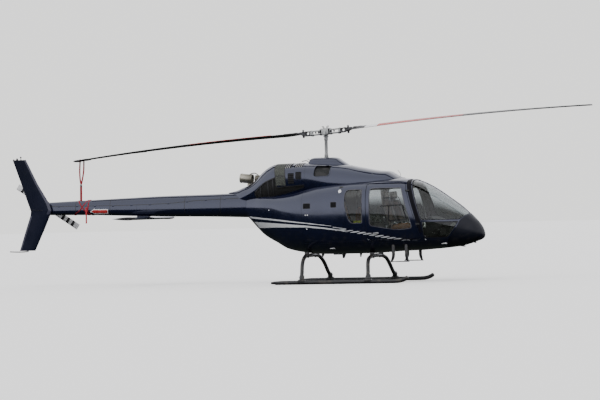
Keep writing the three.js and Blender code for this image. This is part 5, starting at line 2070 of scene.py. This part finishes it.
def screens():
    for side, word in SIDES:
        # An opaque dark screen fills each engine bay opening; its darkness is painted shade for the bay
        # behind.
        bay = within(thin_skin(cowl, -0.012, 0.016), opening(ENGINE_SCREEN, side, 0.16))
        shade(bay, [(cowl, 0.012)])
        piece(f"engine_bay_screen_{word}", bay, "airframe", ENGINE_BAY_SHADE_SCREEN, slot="engine_metal")
        ribs = [
            polygon([(x, 1.7), (x + 0.022, 1.7), (x + 0.022, 2.3), (x, 2.3)], side, 0.16)
            for x in (-1.36, -1.18, -1.06)
        ]
        ribs = [within(rib, opening(ENGINE_SCREEN, side, 0.17)) for rib in ribs]
        for number, rib in enumerate(ribs):
            strip(f"engine_bay_rib_{word}_{number}", rib, "airframe", DARK_METAL, cowl, -0.004, 0.012)
        frame_band = within(
            ring_prism(ENGINE_SCREEN, side, 0.010, 0.012),
            minus(wide_box(-3, 0, 1, 3), fuselage.mesh(inset=-0.001))
        )
        strip(f"engine_bay_frame_{word}", frame_band, "airframe", BLACK, cowl, 0.002, 0.010)

        scoop = within(thin_skin(cowl, -0.034, 0.040), opening(AIR_INTAKE, side, 0.25))
        shade(scoop, [(cowl, 0.034)])
        piece(f"air_intake_mesh_{word}", scoop, "airframe", GREY_SCREEN, slot="engine_metal")
        # A black patch at the intake's upper front: painted shade where the duct runs deep.
        throat_shade_cut = polygon([(0.030, 2.345), (0.155, 2.345), (0.155, 2.418), (0.030, 2.418)], side, 0.25)
        strip(f"air_intake_throat_shade_{word}", throat_shade_cut, "airframe", BLACK_PAINT, cowl, -0.028, 0.034)
        low_cut = polygon([(-0.105, 2.212), (0.170, 2.218), (0.060, 2.290), (-0.100, 2.300)], side, 0.25)
        strip(f"air_intake_shadow_{word}", low_cut, "airframe", BLACK_PAINT, cowl, -0.026, 0.034)
        band = ring_prism(AIR_INTAKE, side, 0.014, 0.0, 0.27)
        strip(f"air_intake_rim_{word}", band, "airframe", NAVY, cowl, 0.006, 0.010)

        # Each louvre's dark fill behind its slats is painted shade.
        for number, corners in enumerate((LOUVRE_REAR, LOUVRE_FRONT)):
            panel = polygon(rounded(corners), side)
            strip(f"louvre_shade_{word}_{number}", panel, "airframe", OPENING_SHADE, cowl, 0.0012, 0.004)
            band = ring_prism(corners, side, 0.010, 0.0)
            strip(f"louvre_frame_{word}_{number}", band, "airframe", NAVY, cowl, 0.004, 0.004)
            xs = [c[0] for c in corners]
            zs = [c[1] for c in corners]
            slats = [
                polygon([(min(xs), z), (max(xs), z), (max(xs), z + 0.006), (min(xs), z + 0.006)], side)
                for z in np.linspace(min(zs) + 0.025, max(zs) - 0.030, 5)
            ]
            strip(f"louvre_slats_{word}_{number}", joined(slats), "airframe", BLACK, cowl, 0.0045, 0.002)

        # Each side vent's dark fill is painted shade.
        for number, corners in enumerate((SIDE_VENT_REAR, SIDE_VENT_FRONT)):
            strip(
                f"side_vent_{word}_{number}", polygon(rounded(corners), side), "airframe", OPENING_SHADE, proud=0.001
            )
            strip(
                f"side_vent_frame_{word}_{number}", ring_prism(corners, side, 0.006, 0.0), "airframe",
                BLACK, proud=0.003
            )
        ahead = 0.0 if side == RIGHT else -0.130
        shoulder_slot = rectangle(0.458 + ahead, 0.532 + ahead, 1.957, 1.987, 0.006)
        strip(f"shoulder_slot_{word}", polygon(rounded(shoulder_slot), side), "airframe", BLACK_PAINT)
        turns = np.linspace(0, 2 * math.pi, 24)[:-1]
        disc = [(0.482 + ahead + 0.032 * math.cos(a), 1.890 + 0.034 * math.sin(a)) for a in turns]
        strip(f"shoulder_marker_{word}", polygon(disc, side), "airframe", WHITE_PAINT, proud=0.002)
        dots = []
        for x, z in ((-0.262, 1.417), (-0.214, 1.416), (-0.245, 1.129), (-1.136, 1.535), (2.239, 0.866)):
            dots.append(polygon([(x + 0.012 * math.cos(a), z + 0.013 * math.sin(a)) for a in turns], side))
        strip(f"static_port_dots_{word}", joined(dots), "airframe", WHITE_PAINT, proud=0.0012)


LOUVRE_REAR = rectangle(-0.695, -0.560, 2.072, 2.290, 0.010)
LOUVRE_FRONT = rectangle(-0.524, -0.396, 2.160, 2.314, 0.010)
SIDE_VENT_REAR = rectangle(-0.308, -0.160, 1.553, 1.652, 0.008)
SIDE_VENT_FRONT = rectangle(0.302, 0.414, 1.566, 1.668, 0.008)


def bleed_screen():
    """The olive screen that wraps over the engine cowl, in its dark frame."""
    lower = [(-0.972, 2.040), (-0.750, 2.040), (-0.762, 2.232), (-0.982, 2.232)]
    upper = [(-0.984, 2.246), (-0.764, 2.246), (-0.822, 2.560), (-1.036, 2.560)]
    strip("bleed_screen_upper", polygon(upper), "airframe", OLIVE_SCREEN, cowl, 0.003, 0.004)
    for side, word in SIDES:
        strip(
            f"bleed_screen_lower_{word}", polygon(lower, side), "airframe", OLIVE_SCREEN, cowl, 0.003, 0.004
        )
        bar = polygon([(-0.990, 2.232), (-0.755, 2.232), (-0.757, 2.246), (-0.992, 2.246)], side)
        strip(f"bleed_screen_bar_{word}", bar, "airframe", BLACK, cowl, 0.006, 0.004)
    for word, dx in (("rear", -0.012), ("front", 0.222)):
        edge = [
            (-0.972 + dx, 2.03), (-0.962 + dx, 2.03), (-0.974 + dx, 2.24), (-1.026 + dx, 2.56),
            (-1.036 + dx, 2.56), (-0.984 + dx, 2.24)
        ]
        strip(f"bleed_screen_edge_{word}", polygon(edge), "airframe", BLACK, cowl, 0.005, 0.004)


def cowl_top_openings():
    """Dark cooling openings on top of the engine cowl and a black band along its top, both painted shade."""
    # A black band along the cowl's top: painted shade where its upper surface turns away.
    top_shade_band = box((-1.500, -0.22, 2.0), (-1.060, 0.22, 2.7))
    strip("cowl_top_painted_shade", top_shade_band, "airframe", BLACK_PAINT, cowl, 0.0012, 0.003)
    # Each cooling opening is a near-black patch of painted shade, crossed by alloy bars.
    for number, (rear, front) in enumerate(((-0.800, -0.640), (-0.580, -0.400))):
        for side, word in SIDES:
            low, high = sorted((side * 0.10, side * 0.41))
            strip(
                f"cowl_top_opening_{word}_{number}", box((rear, low, 2.2), (front, high, 2.7)), "airframe",
                OPENING_SHADE, cowl, 0.0014, 0.003
            )
            bars = [
                box((x, low, 2.2), (x + 0.012, high, 2.7))
                for x in np.arange(rear + 0.03, front - 0.02, 0.04)
            ]
            strip(
                f"cowl_top_bars_{word}_{number}", joined(bars), "airframe", ALLOY, cowl, 0.006, 0.002,
                slot="bare_metal"
            )


def engine_parts():
    profile = [(0.10, -1.02), (0.16, -1.00), (0.16, -0.86), (0.13, -0.84), (0.13, -0.70), (0.15, -0.68)]
    profile += [(0.15, -0.60), (0.08, -0.58), (0.08, -0.50)]
    mesh = turned(profile, (0, 0, 2.185), (-1, 0, 0))
    mesh.transform(Matrix.Translation((-1.52, 0, 0)))
    parts = [mesh, block((-1.05, -0.15, 2.005), (-0.55, 0.15, 2.06), 0.01)]
    for y in (-0.17, 0.17):
        parts.append(
            rod([(-1.04, y, 2.07), (-0.85, y * 1.1, 2.16), (-0.62, y, 2.12), (-0.50, y * 0.8, 2.20)], 0.014)
        )
        parts.append(rod([(-0.98, y * 0.9, 2.32), (-0.80, y, 2.28), (-0.60, y * 0.9, 2.33)], 0.009))
        parts.append(
            turned(
                [(0.035, 0), (0.040, 0.02), (0.040, 0.10), (0.03, 0.12)], (-0.60, y * 0.9, 2.07), (0, 0, 1),
                24
            )
        )
    piece("engine_cases", parts, "airframe", ENGINE_METAL, "engine", "engine_metal")
    drum = turned(
        [
            (0.150, 2.080), (0.195, 2.095), (0.195, 2.130), (0.180, 2.140), (0.180, 2.300),
            (0.195, 2.310), (0.195, 2.340), (0.120, 2.395), (0.062, 2.400)
        ],
        (0, 0, 0),
    )
    gear = [minus(drum, cylinder(0.050, (0, 0, 2.0), (0, 0, 2.5)))]
    for angle in around(10):
        gear.append(bolt((0.188 * math.cos(angle), 0.188 * math.sin(angle), 2.340), (0, 0, 1), 0.010))
    piece("gearbox_case", gear, "airframe", ENGINE_METAL, "gearbox", "engine_metal")


def exhaust():
    def pipe(radius, bore, start, end, flare):
        (x0, z0), (x1, z1) = start, end
        run = Vector((x1 - x0, 0, z1 - z0))
        length = run.length
        return turned(
            [(bore, 0.0), (radius * flare, 0.0), (radius * flare, 0.012), (radius, 0.045),
             (radius, length * 0.7), (radius * 0.97, length - 0.012), (radius * 1.03, length - 0.004),
             (radius * 1.03, length), (bore, length)],
            (x0, 0, z0),
            run,
            56,
        ), cylinder(bore, Vector((x0, 0, z0)) - run * 0.2, Vector((x1, 0, z1)) + run * 0.2, 56)

    duct, duct_bore = pipe(0.096, 0.086, (-1.630, 2.195), (-1.890, 2.222), 1.04)
    nozzle, nozzle_bore = pipe(0.080, 0.072, (-1.400, 2.190), (-1.560, 2.196), 1.0)
    outer = plus(duct, nozzle)
    made = smooth(minus(minus(outer, duct_bore), nozzle_bore), 40)
    parts = [made]
    arch = [(-1.500, 0.0, 2.270), (-1.560, 0.0, 2.312), (-1.630, 0.0, 2.316), (-1.690, 0.0, 2.296)]
    parts.append(rod(arch, 0.010, 10, across=(0, 1, 0)))
    parts.append(
        extruded([(-1.755, 1.995), (-1.660, 1.995), (-1.675, 2.112), (-1.745, 2.112)], -0.010, 0.010, 0.003)
    )
    for x in (-1.66, -1.86):
        parts.append(
            turned(
                [(0.0985, 0), (0.101, 0.003), (0.101, 0.014), (0.0985, 0.017)],
                (x, 0, 2.195 - (x + 1.63) * 0.104), (-1, 0, 0.104), 56
            )
        )
    piece("exhaust_pipes", parts, "airframe", EXHAUST, "exhaust_duct", "exhaust_steel")


# Stripes


def curve_z(points, x):
    xs, zs = zip(*points)
    return float(np.interp(x, xs, zs))


STRIPE_TOP = [(-1.66, 1.418), (-1.008, 1.350), (-0.268, 1.262), (0.31, 1.186)]
STRIPE_BOTTOM = [(-1.62, 1.378), (-1.008, 1.318), (-0.268, 1.243), (0.30, 1.180)]
WEDGE_TOP = [
    (-1.545, 1.303), (-0.900, 1.255), (-0.270, 1.204), (0.100, 1.160), (0.400, 1.118), (0.660, 1.076)
]
WEDGE_BOTTOM = [
    (-1.425, 1.170), (-0.900, 1.176), (-0.270, 1.166), (0.070, 1.134), (0.400, 1.094), (0.640, 1.056)
]
ROPE_LINE = [
    (0.280, 1.135), (0.5025, 1.100), (0.941, 1.031), (1.063, 1.0085), (1.427, 0.9355), (1.800, 0.866)
]
ROPE_CENTRES = (0.503, 0.655, 0.803, 0.941, 1.063, 1.184, 1.306, 1.427, 1.549, 1.670)
ROPE_LOOP_END = [
    (1.738, 0.852), (1.800, 0.874), (1.869, 0.885), (1.908, 0.875), (1.930, 0.852), (1.904, 0.860),
    (1.866, 0.867), (1.800, 0.858),
]
THIN_LINE = [(0.335, 1.168), (0.470, 1.146), (0.620, 1.122), (0.620, 1.112), (0.470, 1.134), (0.335, 1.154)]


def between_lines(top, bottom):
    return top + bottom[::-1]


def rope_dashes():
    """Leaf-shaped strands, one after another and slightly tilted, as in a laid rope, and its last loop."""
    made = [ROPE_LOOP_END]
    for x in ROPE_CENTRES:
        share = min((x - ROPE_CENTRES[0]) / (ROPE_CENTRES[3] - ROPE_CENTRES[0]), 1)
        length = 0.256 + share * (0.205 - 0.256)
        thick = 0.020 + share * (0.029 - 0.020)
        turn = math.radians(5 + 2 * share)
        z = curve_z(ROPE_LINE, x)
        dx, dz = math.cos(turn), math.sin(turn)
        outline = []
        for edge, stations in (
            (0.5, (-0.5, -0.42, -0.25, 0, 0.25, 0.42, 0.5)), (-0.5, (0.42, 0.25, 0, -0.25, -0.42))
        ):
            for station in stations:
                a = station * length
                b = edge * thick * (1 - abs(2 * station) ** 2.2)
                outline.append((x + dx * a - dz * b, z + dz * a + dx * b))
        made.append(outline)
    return made


def painted_lines(name, outlines, side, material):
    """Painted shapes on the side of the hull, split between the hull and the doors that they cross."""
    word = "right" if side == RIGHT else "left"
    door_list = [("right_door", FRONT_DOOR)] if side == RIGHT else [
        ("left_front_door", FRONT_DOOR), ("left_rear_door", REAR_DOOR)
    ]
    cutter = joined([polygon(outline, side) for outline in outlines])
    rest = cutter
    for body, outline in door_list:
        leaf = within(
            side_prism(rounded(draw_in(outline, DOOR_GAP)), side), wide_box(-2, 4, DECK_Z + SILL_GAP, 4)
        )
        on_door = within(cutter, leaf)
        if len(on_door.polygons):
            strip(f"{name}_{body}", on_door, body, material, proud=0.0007)
        rest = minus(rest, opening(outline, side))
    strip(f"{name}_{word}", rest, "airframe", material, proud=0.0007)


def stripes():
    for side in (RIGHT, LEFT):
        painted_lines("upper_stripe", [between_lines(STRIPE_TOP, STRIPE_BOTTOM)], side, SILVER)
        painted_lines("lower_stripe", [between_lines(WEDGE_TOP, WEDGE_BOTTOM)], side, SILVER)
        painted_lines("rope_stripe", rope_dashes(), side, SILVER)
        painted_lines("thin_stripe", [THIN_LINE], side, SILVER)
    for side, word in SIDES:
        arrow = [
            (-5.258, 1.598), (-5.150, 1.658), (-5.150, 1.646), (-4.842, 1.640), (-4.842, 1.542),
            (-5.150, 1.546), (-5.150, 1.536)
        ]
        inner = [
            (-5.232, 1.598), (-5.158, 1.638), (-5.158, 1.628), (-4.856, 1.624), (-4.856, 1.558),
            (-5.158, 1.562), (-5.158, 1.556)
        ]
        strip(
            f"blank_arrow_sign_{word}", polygon(arrow, side, 0.03), "airframe", WHITE_PAINT, boom, 0.0008,
            0.003
        )
        strip(
            f"blank_arrow_face_{word}", polygon(inner, side, 0.03), "airframe", SIGN_RED, boom, 0.0014,
            0.003
        )


# Small fittings


def fittings():
    for side, word in SIDES:
        gutter = []
        for x in np.linspace(0.30, 1.86, 22):
            _, top, half_width, widest, round_top, _ = fuselage.at(x)
            y = 0.50 - 0.05 * max(x - 1.3, 0)
            z = widest + (top - widest) * (1 - (y / half_width) ** round_top) ** (1 / round_top)
            gutter.append((x, side * y, z + 0.004))
        piece(
            f"roof_gutter_{word}", [rod(gutter, 0.007, 10, per_span=2)], "airframe", NAVY, slot="navy_paint"
        )
        leaves = []
        for x, z in ((1.872, 1.868), (2.083, 1.186)):
            y = float(fuselage.side(x, z))
            low, high = sorted((side * (y - 0.012), side * (y + 0.010)))
            leaves.append(block((x + 0.004, low, z - 0.016), (x + 0.066, high, z + 0.016), 0.004))
            leaves.append(
                rod(
                    [
                        (x + 0.004, side * (y + 0.006), z - 0.022),
                        (x - 0.008, side * (y + 0.006), z + 0.022)
                    ],
                    0.008, curved=False
                )
            )
        piece(f"front_door_hinges_{word}", leaves, "airframe", BLACK, slot="black_paint")
        body = "right_door" if side == RIGHT else "left_front_door"
        door_handle(body, 1.235, 1.020, side)
    door_handle("left_rear_door", 0.955, 1.050, LEFT)
    hinges = []
    for z in (1.150, 1.750):
        y = float(fuselage.side(0.40, z))
        hinges.append(block((0.355, y - 0.012, z - 0.035), (0.414, y + 0.008, z + 0.035), 0.004))
        hinges.append(
            rod(
                [(0.415, y + 0.008, z - 0.034), (0.415, y + 0.008, z + 0.034)], 0.007, curved=False,
                across=(1, 0, 0)
            )
        )
    piece("rear_door_hinges_left", hinges, "airframe", BLACK, slot="black_paint")
    latches = [bolt((-0.655, 0.565, 1.20), (0.27, 0.95, -0.1), 0.014)]
    piece("baggage_door_latch", latches, "baggage_door", STEEL, slot="bare_metal")


def door_handle(body, x, z, side):
    y = float(fuselage.side(x, z))
    low, high = sorted((side * (y - 0.008), side * (y + 0.003)))
    plate_mesh = block((x - 0.060, low, z - 0.026), (x + 0.060, high, z + 0.026), 0.006)
    lever = rod(
        [
            (x - 0.045, side * (y + 0.004), z), (x - 0.030, side * (y + 0.014), z),
            (x + 0.045, side * (y + 0.014), z)
        ],
        0.006
    )
    piece(f"{body}_handle", [plate_mesh, lever], body, STEEL, slot="bare_metal")


def lights_and_aerials():
    x, z = 1.098, 2.225
    y = float(cowl.side(x, z))
    dots = [
        turned([(0.014, 0), (0.013, 0.006), (0.006, 0.010)], (x, s * (y - 0.002), z), (0, s, 0.2), 20)
        for s in (-1, 1)
    ]
    x, z = 2.251, 0.930
    y = float(fuselage.side(x, z))
    for s in (-1, 1):
        dots.append(
            turned([(0.016, 0), (0.014, 0.007), (0.005, 0.011)], (x, s * (y - 0.002), z), (0, s, -0.1), 20)
        )
    piece("position_light_lenses", dots, "airframe", LENS, slot="clear_glazing")
    bars = []
    for s in (-1, 1):
        y = float(fuselage.side(2.580, 0.778))
        bars.append(block((2.520, s * y - 0.012, 0.766), (2.640, s * y + 0.012, 0.788), 0.006))
        y = float(fuselage.side(0.25, 0.722))
        bars.append(block((0.195, s * y - 0.010, 0.714), (0.303, s * y + 0.010, 0.730), 0.005))
    piece("belly_light_bars", bars, "airframe", WHITE_PAINT, slot="blade_paint")
    aerials = []
    for x, length, drop in ((0.335, 0.10, 0.085), (0.700, 0.06, 0.070), (-0.120, 0.08, 0.060)):
        z = float(fuselage.at(x)[0])
        aerials.append(
            extruded(
                [
                    (x - length / 2, z + 0.02), (x + length / 2, z + 0.02),
                    (x + length * 0.05, z - drop), (x - length * 0.35, z - drop)
                ],
                -0.005, 0.005, 0.003
            )
        )
    x = 3.138
    z = float(fuselage.at(x)[0])
    aerials.append(
        turned([(0.030, 0), (0.030, 0.010), (0.022, 0.022)], (x, 0.0, z + 0.004), (-0.25, 0, -1), 28)
    )
    z = float(fuselage.at(2.86)[0])
    aerials.append(
        turned(
            [(0.075, 0), (0.075, 0.016), (0.062, 0.020), (0.060, 0.012), (0.01, 0.012)],
            (2.86, 0, z + 0.010), (-0.15, 0, -1), 40
        )
    )
    aerials.append(rod([(1.55, 0.18, 2.150), (1.53, 0.18, 2.235), (1.48, 0.18, 2.300)], 0.004))
    aerials.append(rod([(-0.36, 0.05, 2.498), (-0.385, 0.05, 2.56), (-0.43, 0.05, 2.585)], 0.006))
    aerials.append(rod([(-0.345, -0.10, 2.50), (-0.40, -0.12, 2.545), (-0.50, -0.12, 2.53)], 0.008))
    piece("aerials_and_lamp_rims", aerials, "airframe", BLACK, slot="black_paint")
    top = [
        turned(
            [(0.020, 0), (0.022, 0.010), (0.020, 0.034), (0.012, 0.046)], (-6.905, FIN_Y, 2.730), (0, 0, 1),
            24
        ),
        rod([(-6.815, FIN_Y, 2.730), (-6.820, FIN_Y, 2.790)], 0.009, curved=False, across=(1, 0, 0)),
        turned(
            [(0.004, 0.0), (0.018, 0.010), (0.018, 0.026), (0.004, 0.036)], (-6.820, FIN_Y, 2.775),
            (0, 0, 1), 20
        ),
        turned([(0.013, 0), (0.013, 0.020), (0.008, 0.026)], (-6.985, FIN_Y, 2.732), (0, 0, 1), 20),
    ]
    piece("fin_top_beacon_and_aerial", top, "airframe", BLACK, slot="black_paint")


def boom_details():
    for number, x in enumerate((-4.215, -3.985)):
        band = minus(box((x, -1, 1), (x + 0.030, 1, 2)), above_cover_edge(-0.01))
        strip(f"stabilizer_strap_{number}", band, "airframe", NAVY, boom, 0.003, 0.003)
    seams = []
    for x in (-2.30, -3.10, -4.80, -5.60):
        seams.append(box((x, -1, 1), (x + 0.010, 1, 2.2)))
    strip("boom_joint_lines", joined(seams), "airframe", BLACK, boom, 0.0008, 0.002)
    edge = [(x, z + 0.010) for x, z in SHAFT_COVER_EDGE] + [
        (x, z - 0.002) for x, z in SHAFT_COVER_EDGE[::-1]
    ]
    strip("shaft_cover_seam", polygon(edge), "airframe", BLACK, boom, 0.0009, 0.002)
    latches = []
    for x in np.arange(-2.2, -6.2, -0.42):
        z = curve_z(sorted(SHAFT_COVER_EDGE), x)
        for s in (-1, 1):
            y = float(boom.side(x, z))
            latches.append(
                block((x - 0.024, s * y - 0.004, z - 0.014), (x + 0.024, s * y + 0.004, z + 0.014), 0.002)
            )
    piece("cover_latches", latches, "airframe", NAVY, slot="bare_metal")
    lines = []
    for s in (-1, 1):
        lines.append(
            rod(
                [
                    (-6.245, FIN_Y + s * 0.040, 1.640), (-6.45, FIN_Y + s * 0.0455, 1.655),
                    (-6.655, FIN_Y + s * 0.012, 1.672)
                ],
                0.003, 8
            )
        )
    piece("fin_joint_lines", lines, "airframe", BLACK, slot="black_paint")
    cap = turned(
        [(0.040, 0), (0.046, 0.010), (0.046, 0.050), (0.040, 0.058), (0.034, 0.050), (0.034, 0.004)],
        (-6.255, 0, 1.785), (-1, 0, 0), 28
    )
    piece("driveshaft_cover_end", [cap], "airframe", DARK_METAL, slot="bare_metal")


# Tie-down


def tie_down():
    """A sock on the rear blade's tip and its straps, and the wrap round the tail boom that holds them."""
    to_world = head_matrix()
    tip = to_world @ Vector((-5.560, 0, blade_lift(5.56)))
    tip.x -= MAST_X
    r0, r1 = 5.37, 5.652
    rings = []
    for r in np.linspace(r0, r1, 12):
        swell = 0.010 + 0.004 * math.sin((r - r0) / (r1 - r0) * math.pi * 3)
        ring = []
        for angle in around(28):
            ring.append(
                (-r, 0.085 + 0.176 * math.cos(angle), blade_lift(r) + (0.010 + swell) * math.sin(angle))
            )
        rings.append(ring)
    sock = smooth(skin(rings), 60)
    piece("blade_tip_sock", sock, "main_rotor", BLACK_WEBBING, slot="grey_plastic", matrix=to_world)

    def strap(points, width, across=(0, 1, 0), thick=0.003):
        return rod(points, thick / 2, 10, wide=width / thick, across=across, per_span=6)

    join = (-5.503, 0.0, 2.165)
    lower_end = (-5.510, 0.0, 1.830)
    runs = [
        strap([(-5.530, 0.05, tip.z + 0.030), (-5.548, 0.055, 2.480), (-5.530, 0.02, 2.300), join], 0.034),
        strap([(-5.440, 0.04, tip.z + 0.030), (-5.455, 0.050, 2.480), (-5.475, 0.02, 2.300), join], 0.034),
        strap([join, (-5.506, 0.0, 2.03), lower_end], 0.052),
        strap([(-5.512, 0.008, 2.15), (-5.516, 0.010, 2.04), (-5.500, 0.008, 1.90)], 0.034),
    ]
    strap_piece = piece("tie_down_strap", runs, "main_rotor", RED_WEBBING, slot="grey_plastic")
    buckle = [
        turned(
            [(0.022, -0.003), (0.026, 0.0), (0.022, 0.003), (0.016, 0.003), (0.014, 0.0), (0.016, -0.003)],
            (-5.503, -0.006, 2.158), (0, 1, 0), 24
        ),
    ]
    ring_piece = piece("tie_down_ring", buckle, "main_rotor", STEEL, slot="bare_metal")
    for obj in (strap_piece, ring_piece):
        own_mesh(obj)

    wrap = []
    for lean, shift in ((0.16, -0.05), (-0.16, 0.05), (0.02, 0.13)):
        loop = []
        for angle in around(40):
            x = -5.44 + shift + lean * math.sin(angle)
            bottom, top, half_width, widest, _, _ = boom.at(x)
            height = (top - widest) if math.sin(angle) > 0 else (widest - bottom)
            loop.append(
                (x, (half_width + 0.005) * math.cos(angle), widest + (height + 0.005) * math.sin(angle))
            )
        loop.append(loop[0])
        wrap.append(band_loop(loop))
    tail = [
        (-5.345, -0.142, 1.690), (-5.340, -0.150, 1.600), (-5.338, -0.152, 1.480), (-5.342, -0.150, 1.345)
    ]
    piece("tie_down_wrap", wrap, "airframe", RED_WEBBING, slot="grey_plastic")
    piece("tie_down_hanging_end", [strap(tail, 0.034)], "airframe", BRIGHT_WEBBING, slot="grey_plastic")


def band_loop(loop, width=0.026, thick=0.003):
    """A flat band round the boom, along a closed run of points."""
    rings = []
    for x, y, z in loop[:-1]:
        out = Vector((0, y, z - 1.68)).normalized() * thick
        half = width / 2
        rings.append(
            [
                (x - half, y, z), (x + half, y, z), (x + half, y + out.y, z + out.z),
                (x - half, y + out.y, z + out.z)
            ]
        )
    count = len(rings)
    points = [p for ring in rings for p in ring]
    faces = []
    for r in range(count):
        n = (r + 1) % count
        for i in range(4):
            j = (i + 1) % 4
            faces.append((r * 4 + i, r * 4 + j, n * 4 + j, n * 4 + i))
    return smooth(outward(mesh_of(points, faces)), 50)


for make in (
    cabin_shells, post_trim, gap_seals, glazed_openings, doors, cowlings, tail_boom, tail_surfaces,
    fin_details, main_rotor, mast, tail_rotor, landing_gear, cabin_floor, seats, bench_ends,
    console, controls, screens, bleed_screen, cowl_top_openings, engine_parts, exhaust, stripes,
    fittings, lights_and_aerials, boom_details, tie_down,
):
    make()

photo_camera()
stage_and_light()

bpy.context.view_layer.update()
